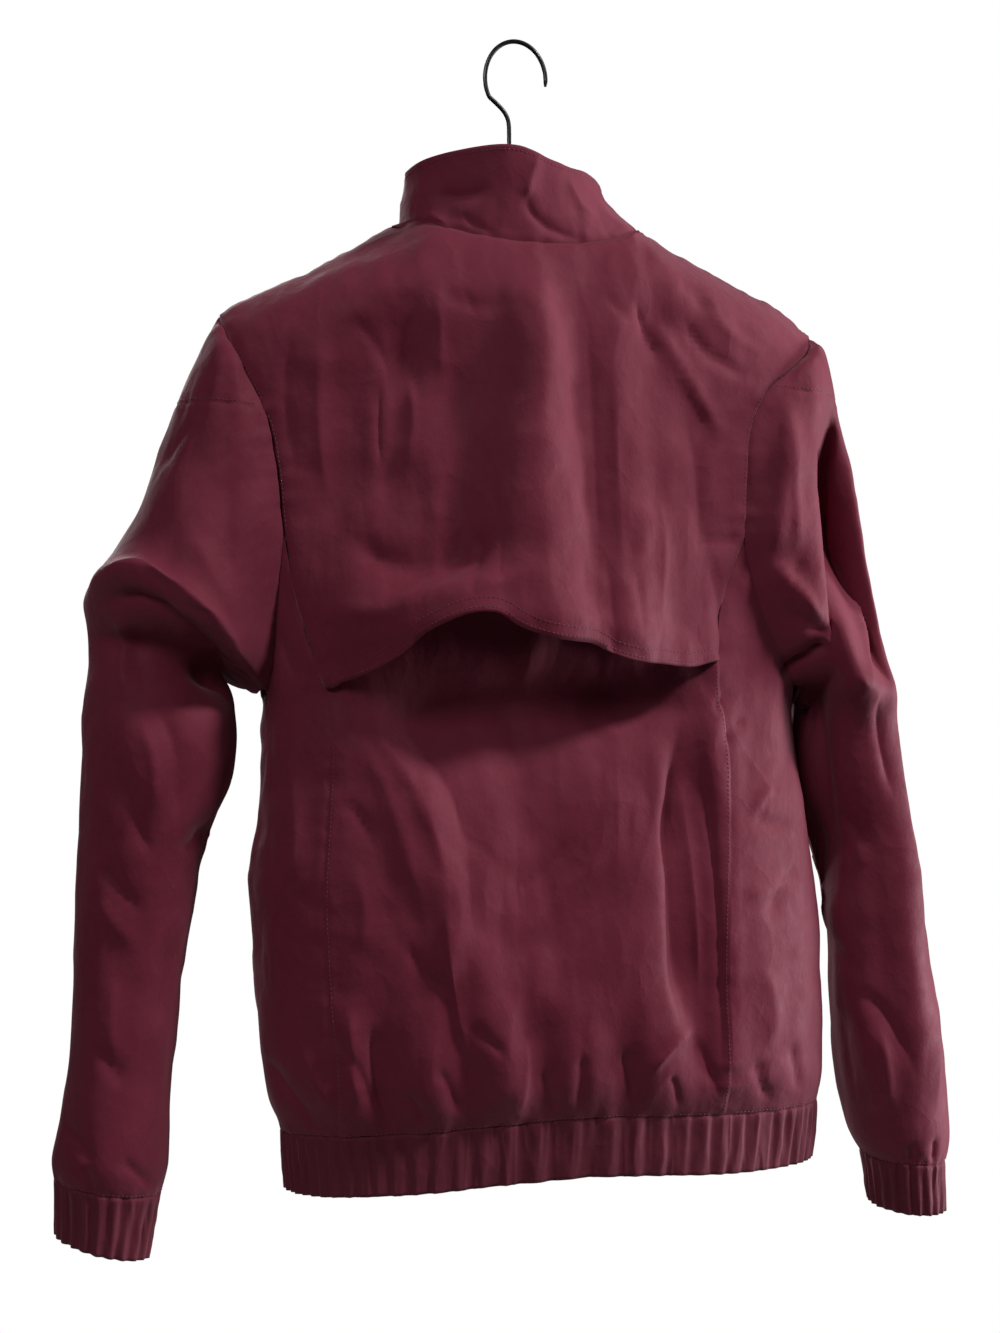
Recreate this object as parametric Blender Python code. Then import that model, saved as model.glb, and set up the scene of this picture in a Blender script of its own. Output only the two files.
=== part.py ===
"""A nylon windbreaker with a cape back, closed and hanging on a wire hanger.

Metres, +Z up. The origin is the hook's inner top, where the hanger hangs. The garment faces -Y,
its back is towards +Y, and the wearer's left is at +X. Every cloth piece is a wall through a grid
of points that is worked out from the tables below; neighbours share their seam points.
"""
import math
from collections import namedtuple

import bpy
import numpy as np

# ---------------------------------------------------------------- driving sizes
WALL = 0.0015                # cloth wall, nylon with its seam layers
GAP = 0.0003                 # clearance at every seam
TIP_Z = -0.190
TIP_X = {1: 0.197, -1: -0.207}           # shoulder tips, left (+1) and right (-1)
NECK_X = {1: 0.078, -1: -0.087}          # where the shoulder meets the collar
SHOULDER_NECK_Z = -0.126
SHOULDER_BOW = {1: 0.0, -1: 0.0042}      # how far each shoulder line arches up towards its tip
NECK_BACK_Z, NECK_FRONT_Z = -0.146, -0.195
NECK_BACK_Y, NECK_FRONT_Y = 0.055, -0.062
NECK_BACK_POWER, NECK_FRONT_POWER = 2.2, 2.6     # how squarely the neckline turns, behind and before
SHOULDER_ROUNDING = 0.062    # depth below the shoulder line where the body is full
UNDERARM_Z = -0.437
UNDERARM_POWER = 2.2         # and how squarely the armhole turns there
PRINCESS_TOP_Z = -0.335      # where the princess seams leave the armholes
HEM_SEAM_Z, HEM_Z = -0.722, -0.762
SQUARENESS = 2.4             # superellipse exponent of the body's cross-section
ZIP_OPENING = 0.0043         # half the gap between the two fronts

SIDES = ((1, "left"), (-1, "right"))
EVERY_EDGE = ("first", "last", "top", "bottom")
NECK_STEPS, SHOULDER_STEPS = 12, 8
BODY_LEVELS = [-0.722, -0.711, -0.696, -0.676, -0.650, -0.622, -0.592, -0.560, -0.525, -0.490,
               -0.460, -0.430, -0.400, -0.368, -0.335]
ARMHOLE_LEVELS = {1: [-0.335, -0.316, -0.297, -0.276, -0.255, -0.234, -0.212, -0.190],
                  -1: [-0.335, -0.314, -0.290, -0.262, -0.234, -0.221, -0.206, -0.190]}
UNDERARM_STEPS = 4           # armhole steps from each princess seam down to the underarm
SEAM_STEP = 3                # the sleeve's horizontal seam meets the armhole this far below the tip
SEAM_OUTER_Z = {1: -0.250, -1: -0.238}     # and comes out at this height on the sleeve's outer side
SLEEVE_CLEARANCE = 0.0013    # from the armhole to the middle of the sleeve's wall
SLEEVE_LIFT = 1.3            # this many times further off the panels under the arm
DEPTH_MARGIN = 1.04          # a sleeve row is at least this much deeper than its armhole points

BURGUNDY = (0.105, 0.016, 0.030, 1.0)
DARK_BURGUNDY = (0.070, 0.011, 0.021, 1.0)
STEEL = (0.12, 0.12, 0.13, 1.0)

# body cross-sections, top to bottom: side extremes and depths behind and before the shoulder line
Ring = namedtuple("Ring", "z left right back front")
BODY = [
    Ring(-0.120, 0.206, -0.2175, 0.064, -0.066),
    Ring(-0.190, 0.206, -0.2175, 0.068, -0.070),
    Ring(-0.260, 0.200, -0.2140, 0.070, -0.075),
    Ring(-0.335, 0.187, -0.2090, 0.068, -0.080),
    Ring(-0.440, 0.172, -0.2040, 0.064, -0.084),
    Ring(-0.500, 0.177, -0.2050, 0.069, -0.086),
    Ring(-0.540, 0.178, -0.2070, 0.074, -0.086),
    Ring(-0.600, 0.1735, -0.2095, 0.080, -0.085),
    Ring(-0.660, 0.1715, -0.2115, 0.081, -0.082),
    Ring(-0.703, 0.1645, -0.2125, 0.076, -0.075),
    Ring(-0.722, 0.1565, -0.2105, 0.063, -0.062),
    Ring(-0.762, 0.1525, -0.2060, 0.058, -0.056)]

# how much higher than its plain level the hem hangs, across the garment
Hem = namedtuple("Hem", "x rise")
HEM_RISE = [Hem(0.157, 0.003), Hem(0.085, 0.007), Hem(0.020, 0.0115), Hem(-0.040, 0.014),
            Hem(-0.100, 0.0115), Hem(-0.150, 0.009), Hem(-0.213, 0.0085)]
HEM_RISE_FROM_Z = -0.600

# the side edges of the centre back and of the fronts: armhole above, princess seam below
Edge = namedtuple("Edge", "z back_left back_right front_left front_right")
EDGES = [
    Edge(-0.190, 0.197, -0.207, 0.197, -0.207),
    Edge(-0.212, 0.192, -0.190, 0.188, -0.196),
    Edge(-0.234, 0.182, -0.158, 0.176, -0.180),
    Edge(-0.255, 0.171, -0.146, 0.165, -0.168),
    Edge(-0.295, 0.163, -0.142, 0.155, -0.158),
    Edge(-0.335, 0.159, -0.141, 0.150, -0.156),
    Edge(-0.375, 0.152, -0.126, 0.146, -0.160),
    Edge(-0.415, 0.139, -0.123, 0.142, -0.165),
    Edge(-0.450, 0.129, -0.128, 0.140, -0.169),
    Edge(-0.500, 0.131, -0.132, 0.140, -0.173),
    Edge(-0.560, 0.135, -0.129, 0.139, -0.176),
    Edge(-0.620, 0.133, -0.127, 0.136, -0.176),
    Edge(-0.690, 0.127, -0.129, 0.131, -0.175),
    Edge(-0.722, 0.125, -0.129, 0.128, -0.172)]

Front = namedtuple("Front", "z x")
CENTRE_FRONT = [Front(-0.130, -0.0045), Front(-0.195, -0.0045), Front(-0.335, -0.010),
                Front(-0.440, -0.016), Front(-0.600, -0.026), Front(-0.722, -0.030),
                Front(-0.762, -0.030)]

# folds: a straight run in the garment's own X and Z, its half-width, and how far it stands out
Fold = namedtuple("Fold", "x0 z0 x1 z1 width rise")
FOLD_FADE = 0.25             # a fold fades out over this share of its length at each end
BACK_FOLDS = [
    Fold(0.004, -0.165, -0.002, -0.390, 0.026, 0.011),      # ridge down the middle of the cape
    Fold(-0.048, -0.195, -0.060, -0.400, 0.024, 0.006),
    Fold(0.046, -0.215, 0.052, -0.350, 0.032, -0.008),
    Fold(0.100, -0.230, 0.112, -0.390, 0.026, 0.005),
    Fold(-0.066, -0.185, -0.118, -0.275, 0.026, -0.006),
    Fold(-0.104, -0.475, -0.109, -0.690, 0.021, -0.010),    # deep pleat beside the princess seam
    Fold(0.085, -0.460, 0.030, -0.660, 0.030, 0.006),
    Fold(0.040, -0.610, -0.060, -0.540, 0.034, -0.006),
    Fold(0.100, -0.640, 0.092, -0.715, 0.020, -0.007),      # gathers drawn up by the hem band
    Fold(0.056, -0.620, 0.044, -0.710, 0.020, -0.006),
    Fold(0.006, -0.640, -0.002, -0.715, 0.020, -0.006),
    Fold(-0.052, -0.650, -0.058, -0.715, 0.020, -0.006)]
FRONT_FOLDS = [
    Fold(0.096, -0.640, 0.086, -0.715, 0.022, -0.007),
    Fold(0.042, -0.650, 0.036, -0.715, 0.021, -0.005),
    Fold(-0.085, -0.640, -0.078, -0.715, 0.021, -0.006),
    Fold(-0.134, -0.650, -0.124, -0.715, 0.021, -0.006),
    Fold(0.110, -0.250, 0.070, -0.420, 0.030, 0.006),
    Fold(-0.120, -0.250, -0.080, -0.420, 0.030, 0.006),
    Fold(0.075, -0.480, 0.110, -0.620, 0.028, -0.006),
    Fold(-0.130, -0.440, -0.100, -0.600, 0.028, -0.006)]

# the cape's free edge: how high it lies, and how far it stands off the back there
Hang = namedtuple("Hang", "across z stand")
CAPE_EDGE = [
    Hang(0.00, -0.431, 0.000), Hang(0.10, -0.424, 0.006), Hang(0.21, -0.410, 0.016),
    Hang(0.31, -0.393, 0.025), Hang(0.40, -0.386, 0.030), Hang(0.47, -0.388, 0.031),
    Hang(0.55, -0.397, 0.029), Hang(0.67, -0.408, 0.022), Hang(0.80, -0.416, 0.013),
    Hang(0.91, -0.418, 0.005), Hang(1.00, -0.413, 0.000)]
CAPE_SNAP = 0.008            # a row of the back this close above the edge is drawn down to it
CAPE_LOOSE_FROM_Z = -0.235   # above this height the cape lies on the back

# collar's free edge, from the left front end round the back to the right front end
Collar = namedtuple("Collar", "around x y z bulge")
COLLAR_TOP = [
    Collar(0.000, -0.0002, -0.064, -0.130, 0.000), Collar(0.120, 0.042, -0.055, -0.120, 0.003),
    Collar(0.210, 0.069, -0.024, -0.108, 0.003), Collar(0.270, 0.0745, -0.002, -0.098, 0.003),
    Collar(0.330, 0.068, 0.020, -0.0905, 0.002), Collar(0.400, 0.050, 0.040, -0.086, 0.001),
    Collar(0.480, 0.017, 0.055, -0.081, 0.000), Collar(0.560, -0.008, 0.050, -0.0895, 0.000),
    Collar(0.640, -0.030, 0.038, -0.0945, 0.000), Collar(0.720, -0.050, 0.014, -0.0955, 0.001),
    Collar(0.780, -0.0625, -0.006, -0.103, 0.002), Collar(0.880, -0.046, -0.050, -0.119, 0.002),
    Collar(1.000, -0.0088, -0.064, -0.130, 0.000)]
COLLAR_STEPS = 4
COLLAR_CLEARANCE = 0.0026    # how far the collar starts from its seam, and the cape ends below it
CAPE_NECK_LIFT = 0.0006      # and how far it stands proud there, over the neck's tight curve

# outer outline of each sleeve from the shoulder tip to the height of the underarm
Outline = namedtuple("Outline", "z x")
SLEEVE_OUTER = {
    1: [Outline(-0.190, 0.197), Outline(-0.209, 0.207), Outline(-0.232, 0.219),
        Outline(-0.265, 0.229), Outline(-0.294, 0.238), Outline(-0.324, 0.2505),
        Outline(-0.348, 0.266), Outline(-0.374, 0.282)],
    -1: [Outline(-0.190, -0.207), Outline(-0.200, -0.2125), Outline(-0.225, -0.2185),
         Outline(-0.247, -0.2245), Outline(-0.302, -0.237), Outline(-0.372, -0.250),
         Outline(-0.430, -0.2605)]}

# closed sleeve rows below the underarm: outer and inner edge, depths, and mid-depth
Row = namedtuple("Row", "outer_x outer_z inner_x inner_z back front middle")
SLEEVE_ROWS = {
    1: [Row(0.2810, -0.386, 0.195, -0.421, 0.044, -0.046, -0.002),
        Row(0.2795, -0.402, 0.189, -0.436, 0.040, -0.043, -0.004),
        Row(0.2805, -0.424, 0.189, -0.456, 0.042, -0.044, -0.005),
        Row(0.2830, -0.450, 0.189, -0.476, 0.044, -0.045, -0.006),
        Row(0.2855, -0.484, 0.194, -0.500, 0.044, -0.045, -0.007),
        Row(0.2865, -0.515, 0.208, -0.527, 0.043, -0.044, -0.008),
        Row(0.2885, -0.550, 0.211, -0.558, 0.042, -0.044, -0.008),
        Row(0.2900, -0.590, 0.216, -0.595, 0.041, -0.043, -0.008),
        Row(0.2905, -0.632, 0.2225, -0.635, 0.040, -0.042, -0.008),
        Row(0.2930, -0.672, 0.2275, -0.676, 0.040, -0.042, -0.008),
        Row(0.2980, -0.708, 0.2295, -0.714, 0.040, -0.042, -0.008),
        Row(0.3025, -0.731, 0.2315, -0.740, 0.039, -0.040, -0.008),
        Row(0.3010, -0.746, 0.235, -0.757, 0.034, -0.035, -0.008)],
    -1: [Row(-0.2650, -0.452, -0.212, -0.449, 0.046, -0.052, -0.006),
         Row(-0.2715, -0.478, -0.215, -0.474, 0.044, -0.050, -0.008),
         Row(-0.2790, -0.510, -0.219, -0.506, 0.043, -0.048, -0.009),
         Row(-0.2850, -0.545, -0.225, -0.541, 0.042, -0.046, -0.010),
         Row(-0.2905, -0.582, -0.228, -0.578, 0.041, -0.045, -0.010),
         Row(-0.2965, -0.620, -0.230, -0.616, 0.040, -0.044, -0.010),
         Row(-0.3035, -0.660, -0.232, -0.657, 0.040, -0.044, -0.010),
         Row(-0.3090, -0.698, -0.2345, -0.695, 0.040, -0.044, -0.010),
         Row(-0.3115, -0.732, -0.242, -0.728, 0.039, -0.042, -0.010),
         Row(-0.3125, -0.752, -0.247, -0.747, 0.036, -0.038, -0.010),
         Row(-0.3105, -0.764, -0.2555, -0.760, 0.032, -0.034, -0.010)]}
CUFF_BOTTOM = {1: Row(0.3005, -0.783, 0.2425, -0.799, 0.031, -0.032, -0.008),
               -1: Row(-0.3115, -0.800, -0.259, -0.796, 0.030, -0.031, -0.010)}
ARM_DEPTH = {1: (0.066, -0.072), -1: (0.064, -0.074)}    # behind and before, at the underarm row

# how the back half of the right sleeve's upper rows folds in between armhole and outer edge
VALLEY_AT, VALLEY_HALF_WIDTH, VALLEY_DEPTH = 0.62, 0.20, 0.050
# round the sleeve, from the armhole's back to the outer edge and on to its front
ROUND_STEPS = {1: [0, 0.13, 0.26, 0.39, 0.51, 0.63, 0.75, 0.88, 1],
               -1: [0, 0.14, 0.27, 0.39, 0.48, 0.56, 0.64, 0.73, 0.84, 0.92, 1]}
FRONT_ROUND_STEPS = 8
ELBOW_LIP_LIFT = 0.024       # the left elbow's fold is arched up this much at its back
SLEEVE_FOLDS = {
    1: [Fold(0.268, -0.420, 0.230, -0.520, 0.022, 0.005), Fold(0.262, -0.560, 0.252, -0.680, 0.020, -0.004),
        Fold(0.236, -0.290, 0.200, -0.390, 0.026, 0.005)],
    -1: [Fold(-0.262, -0.520, -0.282, -0.690, 0.018, 0.005),
         Fold(-0.240, -0.560, -0.258, -0.700, 0.016, -0.004)]}

HEM_GATHERS, CUFF_GATHERS = 72, 22
GATHER_STEPS = 3             # columns to a gather
QUIET_COLUMNS, QUIET_SHARE = 9, 0.4     # beside the zip the hem band's gathers fade out
CUFF_INSET = 0.001           # the cuff is drawn in this far from the sleeve's last row
BAND_CLEARANCE = 0.0009      # from the body's or sleeve's last row to its band: the rows end aslant
HEM_GATHER_RISE, CUFF_GATHER_RISE = 0.0013, 0.0012

# zip
CHAIN_HALF_WIDTH, CHAIN_THICK = 0.0029, 0.0022
TAPE_HALF_WIDTH, TAPE_THICK = 0.0090, 0.0010
SLIDER_HALF_WIDTH, SLIDER_HEIGHT, SLIDER_THICK = 0.0040, 0.0110, 0.0034
BRIDGE_THICK, BRIDGE_OPENING, BRIDGE_HEIGHT = 0.0010, 0.0026, 0.0070
BRIDGE_HALF_WIDTH = 0.0008
UNION_OVERLAP, BAR_SHORT = 0.0005, 0.0001    # the bridge's feet sink in, its bar ends short of them
TAPE_CLEARANCE = 0.0001      # behind the fronts, beyond the seams' gap: both are curved
SLIDER_CLEARANCE = 0.0002    # from the slider to the tape, beyond the seams' gap
CHAIN_END_RUN = 0.004        # the chain's last full row lies this far below the slider
PULL_BAR, PULL_WIDTH, PULL_LENGTH, PULL_THICK = 0.0011, 0.0064, 0.0220, 0.0014
PULL_EYE_HEIGHT, PULL_ARM, PULL_CORNER = 0.0040, 0.0013, 0.0020

# hanger
WIRE_RADIUS = 0.0015
HOOK_HALF_WIDTH, HOOK_HALF_HEIGHT = 0.0208, 0.0255
HOOK_TURN = (188, -30)       # degrees round the hook's ellipse, from the open tip to the neck
HOOK_STEPS = 20
STEM_X = 0.0043
Bend = namedtuple("Bend", "x z")
NECK_BEND = [Bend(0.0152, -0.0390), Bend(0.0115, -0.0422), Bend(0.0082, -0.0455), Bend(0.0058, -0.0492),
             Bend(0.0046, -0.0535), Bend(STEM_X, -0.0580), Bend(STEM_X, -0.0750), Bend(STEM_X, -0.0900)]
ARM_RADIUS = 0.0040
ARM_END_X = {1: 0.178, -1: -0.190}
ARM_CROWN_Z = -0.112
ARM_STEPS = 8
CROWN_SHARES = (0.25, 0.5, 0.75, 0.92)  # points of each arm between the shoulder and the stem
ARM_DROP = (1.45, 1.75)      # the arms fit the shoulder ridge this many radii down, neck and end


# ---------------------------------------------------------------- small helpers
def smooth_curve(known_at, known, at):
    """A smooth curve through known points that never overshoots them (monotone cubic)."""
    order = np.argsort(known_at)
    xs, ys = np.asarray(known_at, float)[order], np.asarray(known, float)[order]
    step = np.diff(xs)
    slope = np.diff(ys) / step
    tangent = np.concatenate(([slope[0]], np.zeros(len(xs) - 2), [slope[-1]]))
    for i in range(1, len(xs) - 1):
        if slope[i - 1] * slope[i] > 0:
            before, after = 2 * step[i] + step[i - 1], step[i] + 2 * step[i - 1]
            tangent[i] = (before + after) / (before / slope[i - 1] + after / slope[i])
    at = np.clip(at, xs[0], xs[-1])
    k = np.clip(np.searchsorted(xs, at, side="right") - 1, 0, len(step) - 1)
    t = (at - xs[k]) / step[k]
    return (ys[k] * (1 + 2 * t) * (1 - t) ** 2 + tangent[k] * step[k] * t * (1 - t) ** 2
            + ys[k + 1] * t * t * (3 - 2 * t) - tangent[k + 1] * step[k] * t * t * (1 - t))


def column(table, along, wanted, at):
    """Read one named column of a table at any place along another."""
    return smooth_curve([getattr(row, along) for row in table],
                        [getattr(row, wanted) for row in table], at)


def relief(folds, x, z):
    """Sum of soft folds at a place, each a bump across its run that fades out at both ends."""
    total = np.zeros(np.broadcast(x, z).shape)
    for fold in folds:
        run = np.array([fold.x1 - fold.x0, fold.z1 - fold.z0])
        length = np.hypot(*run)
        along = ((x - fold.x0) * run[0] + (z - fold.z0) * run[1]) / length ** 2
        across = np.abs((x - fold.x0) * run[1] - (z - fold.z0) * run[0]) / length
        nearest_end = np.minimum(along, 1 - along)
        ends = np.clip((nearest_end + FOLD_FADE) / (2 * FOLD_FADE), 0, 1)
        ends = ends * ends * (3 - 2 * ends)
        bump = np.clip(1 - across / fold.width, 0, 1)
        total = total + fold.rise * ends * bump * bump * (3 - 2 * bump)
    return total


# ---------------------------------------------------------------- the body's surface
def side_x(z, side):
    return column(BODY, "z", "left" if side > 0 else "right", z)


def edge_x(z, side, face):
    name = ("back_" if face > 0 else "front_") + ("left" if side > 0 else "right")
    return column(EDGES, "z", name, z)


def top_line(x, face):
    """Height and depth of the neckline between the shoulders' neck ends, and of the shoulder
    line outside them."""
    x = np.asarray(x, float)
    middle = (NECK_X[1] + NECK_X[-1]) / 2
    half = (NECK_X[1] - NECK_X[-1]) / 2
    q = np.clip(np.abs(x - middle) / half, 0, 1)
    low, deep, power = ((NECK_BACK_Z, NECK_BACK_Y, NECK_BACK_POWER) if face > 0
                        else (NECK_FRONT_Z, NECK_FRONT_Y, NECK_FRONT_POWER))
    z = low + (SHOULDER_NECK_Z - low) * q ** NECK_BACK_POWER
    y = deep * (1 - q ** power) ** (1 / power)
    for side in (1, -1):
        out = (x - NECK_X[side]) / (TIP_X[side] - NECK_X[side])
        bow = SHOULDER_BOW[side] * np.sin(math.pi * np.clip(out, 0, 1) ** 2)
        z = np.where(out > 0, SHOULDER_NECK_Z + (TIP_Z - SHOULDER_NECK_Z) * out + bow, z)
    return z, y


def body_y(x, z, face):
    """Depth of the body's back (face 1) or front (face -1) at a place seen from behind."""
    left, right = side_x(z, 1), side_x(z, -1)
    depth = column(BODY, "z", "back" if face > 0 else "front", z)
    q = np.clip(np.abs(2 * x - left - right) / (left - right), 0, 1)
    full = depth * (1 - q ** SQUARENESS) ** (1 / SQUARENESS)
    top_z, top_y = top_line(x, face)
    below = np.clip((top_z - z) / SHOULDER_ROUNDING, 0, 1)
    swell = np.sqrt(1 - (1 - below) ** 2)
    folds = relief(BACK_FOLDS if face > 0 else FRONT_FOLDS, x, z) * face
    return top_y + (full - top_y) * swell + folds * np.minimum(1, 2 * below)


def hung(x, y, z):
    """Points of the body, with the hem drawn up as it hangs."""
    low = np.clip((HEM_RISE_FROM_Z - z) / (HEM_RISE_FROM_Z - HEM_SEAM_Z), 0, 1)
    return np.stack((x, y, z + column(HEM_RISE, "x", "rise", x) * low * low * (3 - 2 * low)), -1)


def levels(side):
    return np.array(BODY_LEVELS + ARMHOLE_LEVELS[side][1:])


def top_xs():
    """Where the columns of the back meet its top edge, left tip to right tip."""
    left = np.linspace(TIP_X[1], NECK_X[1], SHOULDER_STEPS + 1)
    neck = np.linspace(NECK_X[1], NECK_X[-1], NECK_STEPS + 1)
    right = np.linspace(NECK_X[-1], TIP_X[-1], SHOULDER_STEPS + 1)
    return np.concatenate((left, neck[1:-1], right))


def rise_to_top(level):
    """How far a row has lifted from its side edges' height to the top line, 0 to 1."""
    return max(0.0, (level - PRINCESS_TOP_Z) / (TIP_Z - PRINCESS_TOP_Z))


def back_grid():
    tops = top_xs()
    across = (tops - tops[0]) / (tops[-1] - tops[0])
    grid = []
    for left_z, right_z in zip(levels(1), levels(-1)):
        z = left_z + (right_z - left_z) * across
        lift = rise_to_top(left_z) * (1 - across) + rise_to_top(right_z) * across
        x_left, x_right = edge_x(left_z, 1, 1), edge_x(right_z, -1, 1)
        x = x_left + (x_right - x_left) * across
        z = z + (top_line(tops, 1)[0] - TIP_Z) * lift
        grid.append(hung(x, body_y(x, z, 1), z))
    return np.array(grid)


def front_grid(side):
    """One front: rows from hem to top, columns from the zip to the side."""
    half = len(top_xs()) // 2
    tops = top_xs()[:half + 1][::-1] if side > 0 else top_xs()[half:]
    tops = tops.copy()
    tops[0] = CENTRE_FRONT[1].x + side * ZIP_OPENING
    across = (tops - tops[0]) / (tops[-1] - tops[0])
    grid = []
    for z_side in levels(side):
        x_zip = column(CENTRE_FRONT, "z", "x", z_side) + side * ZIP_OPENING
        x = x_zip + (edge_x(z_side, side, -1) - x_zip) * across
        z = z_side + (top_line(tops, -1)[0] - TIP_Z) * rise_to_top(z_side)
        grid.append(hung(x, body_y(x, z, -1), z))
    return np.array(grid)


def underarm_dip(s):
    """Height of the armhole between the back (s 0) and front (s 1) princess seams."""
    return UNDERARM_Z + (PRINCESS_TOP_Z - UNDERARM_Z) * np.abs(1 - 2 * s) ** UNDERARM_POWER


def ring_angle(x, z, side, face):
    left, right = side_x(z, 1), side_x(z, -1)
    q = np.clip(np.abs(2 * x - left - right) / (left - right), 0, 1)
    return face * np.arccos(q ** (SQUARENESS / 2))


def side_grid(side):
    """A side panel: columns from the back princess seam round to the front one, rows upward."""
    grid = []
    spread = np.linspace(0, 1, 2 * UNDERARM_STEPS + 1)
    for level in BODY_LEVELS:
        share = (level - HEM_SEAM_Z) / (PRINCESS_TOP_Z - HEM_SEAM_Z)
        z = HEM_SEAM_Z + (underarm_dip(spread) - HEM_SEAM_Z) * share
        start = ring_angle(edge_x(z, side, 1), z, side, 1)
        end = ring_angle(edge_x(z, side, -1), z, side, -1)
        angle = start + (end - start) * spread
        left, right = side_x(z, 1), side_x(z, -1)
        x = (left + right) / 2 + side * (left - right) / 2 * np.cos(angle) ** (2 / SQUARENESS)
        y = np.where(angle >= 0, body_y(x, z, 1), body_y(x, z, -1))
        grid.append(hung(x, y, z))
    return np.array(grid)


def armhole(side, face, back, front, panel):
    """Armhole points from the shoulder tip down to the underarm as the panels have them, each
    moved clear of the panels, outward in their surface and off it where the sleeve turns down."""
    count = len(ARMHOLE_LEVELS[side])
    if face > 0:
        upper, edge, within = back, (0 if side > 0 else -1), (1 if side > 0 else -2)
        under = np.s_[:UNDERARM_STEPS + 1]
    else:
        upper, edge, within = front, -1, -2
        under = np.s_[:-UNDERARM_STEPS - 2:-1]
    upper_out = grid_normals(upper) * np.sign(grid_normals(upper)[len(BODY_LEVELS), edge, 1]) * face
    panel_out = grid_normals(panel)
    panel_out *= np.sign(panel_out[0, UNDERARM_STEPS, 0]) * side
    points = np.concatenate((upper[::-1, edge][:count], panel[-1][under][1:]))
    normals = np.concatenate((upper_out[::-1, edge][:count], panel_out[-1][under][1:]))
    inner = np.concatenate((upper[::-1, within][:count], panel[-2][under][1:]))
    away = np.cross(np.gradient(points, axis=0), normals)
    away /= np.linalg.norm(away, axis=1, keepdims=True)
    away *= np.sign(np.sum(away * (points - inner), axis=1))[:, None]
    down = np.linspace(0, 1, len(points))[:, None] ** 2
    return points + SLEEVE_CLEARANCE * (away + normals * down * SLEEVE_LIFT)


def armholes(side, back, front, panel):
    """Both halves of an armhole, meeting at the shoulder tip and under the arm."""
    halves = [armhole(side, face, back, front, panel) for face in (1, -1)]
    for end in (0, -1):
        halves[0][end] = halves[1][end] = (halves[0][end] + halves[1][end]) / 2
    return halves


# ---------------------------------------------------------------- sleeves
def half_row(end, outer_x, outer_z, depth, steps, middle=0.0):
    """From an armhole point (or the inner edge) round to the outer edge on part of an ellipse."""
    turn = math.pi - math.asin(min(abs((end[1] - middle) / depth), 0.985))
    angles = turn * (1 - np.asarray(steps, float))
    swing = (1 - np.cos(angles)) / (1 - math.cos(turn))
    x = outer_x + (end[0] - outer_x) * swing
    y = middle + depth * np.sin(angles)
    z = outer_z + (end[2] - outer_z) * swing
    y = y + (end[1] - y[0]) * (1 - np.asarray(steps, float)) ** 2
    return np.stack((x, y, z), -1)


def sleeve_row(side, back_end, front_end, outer_x, outer_z, depths, middle=0.0):
    behind = half_row(back_end, outer_x, outer_z, depths[0], ROUND_STEPS[side], middle)
    before = half_row(front_end, outer_x, outer_z, depths[1],
                      np.linspace(0, 1, FRONT_ROUND_STEPS + 1), middle)
    return behind, before[::-1]


def join_row(behind, before):
    return np.concatenate((behind, before[1:]))


def valley(side, row_share):
    """How far the right sleeve folds in behind the armhole at each place round a row."""
    steps = np.array(ROUND_STEPS[side])
    if side > 0:
        return np.zeros(len(steps))
    bump = np.clip(1 - np.abs(steps - VALLEY_AT) / VALLEY_HALF_WIDTH, 0, 1)
    return VALLEY_DEPTH * bump * math.sin(math.pi * min(1, max(0, row_share))) ** 0.7


def along_polyline(points, shares):
    """Points on a polyline at the given shares of its length."""
    run = np.concatenate(([0], np.cumsum(np.linalg.norm(np.diff(points, axis=0), axis=1))))
    return np.stack([np.interp(np.asarray(shares) * run[-1], run, points[:, i])
                     for i in range(3)], -1)


def sleeve_rows(side, back_arm, front_arm):
    """Rows of one sleeve from the shoulder down; the first lies on the armhole itself."""
    behind_steps = np.array(ROUND_STEPS[side])
    before_steps = np.linspace(0, 1, FRONT_ROUND_STEPS + 1)
    first_behind = along_polyline(back_arm[1::-1], behind_steps)
    first_before = along_polyline(front_arm[:2], before_steps)
    rows = [join_row(first_behind, first_before)]
    outline = SLEEVE_OUTER[side]
    last = len(back_arm) - 1
    seam_z = SEAM_OUTER_Z[side]
    heights = np.concatenate((np.linspace(outline[1].z, seam_z, SEAM_STEP - 1),
                              np.linspace(seam_z, outline[-1].z, last - SEAM_STEP + 1)[1:]))
    for k, outer_z in zip(range(2, last + 1), heights):
        share = k / last
        depths = (back_arm[:k + 1, 1].max() * (1 - share) + ARM_DEPTH[side][0] * share,
                  front_arm[:k + 1, 1].min() * (1 - share) + ARM_DEPTH[side][1] * share)
        depths = (max(depths[0], back_arm[k][1] * DEPTH_MARGIN),
                  min(depths[1], front_arm[k][1] * DEPTH_MARGIN))
        outer_x = float(column(outline, "z", "x", outer_z))
        behind, before = sleeve_row(side, back_arm[k], front_arm[k], outer_x, outer_z, depths)
        behind[:, 1] -= valley(side, (k - SEAM_STEP) / (last + 0.3 - SEAM_STEP))
        row = join_row(behind, before)
        if side > 0 and k > SEAM_STEP:
            lip = ELBOW_LIP_LIFT * ((k - SEAM_STEP) / (last - SEAM_STEP)) ** 2
            row[:len(behind_steps), 2] += lip * np.sin(math.pi * behind_steps) ** 1.3
        rows.append(row)
    for spec in SLEEVE_ROWS[side]:
        rows.append(closed_row(side, spec))
    rows = np.array(rows)
    folds = relief(SLEEVE_FOLDS[side], rows[:, :, 0], rows[:, :, 2])
    behind_count = len(behind_steps)
    rows[2:, :behind_count, 1] += folds[2:, :behind_count]
    rows[2:, behind_count:, 1] -= folds[2:, behind_count:]
    return rows


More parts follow.
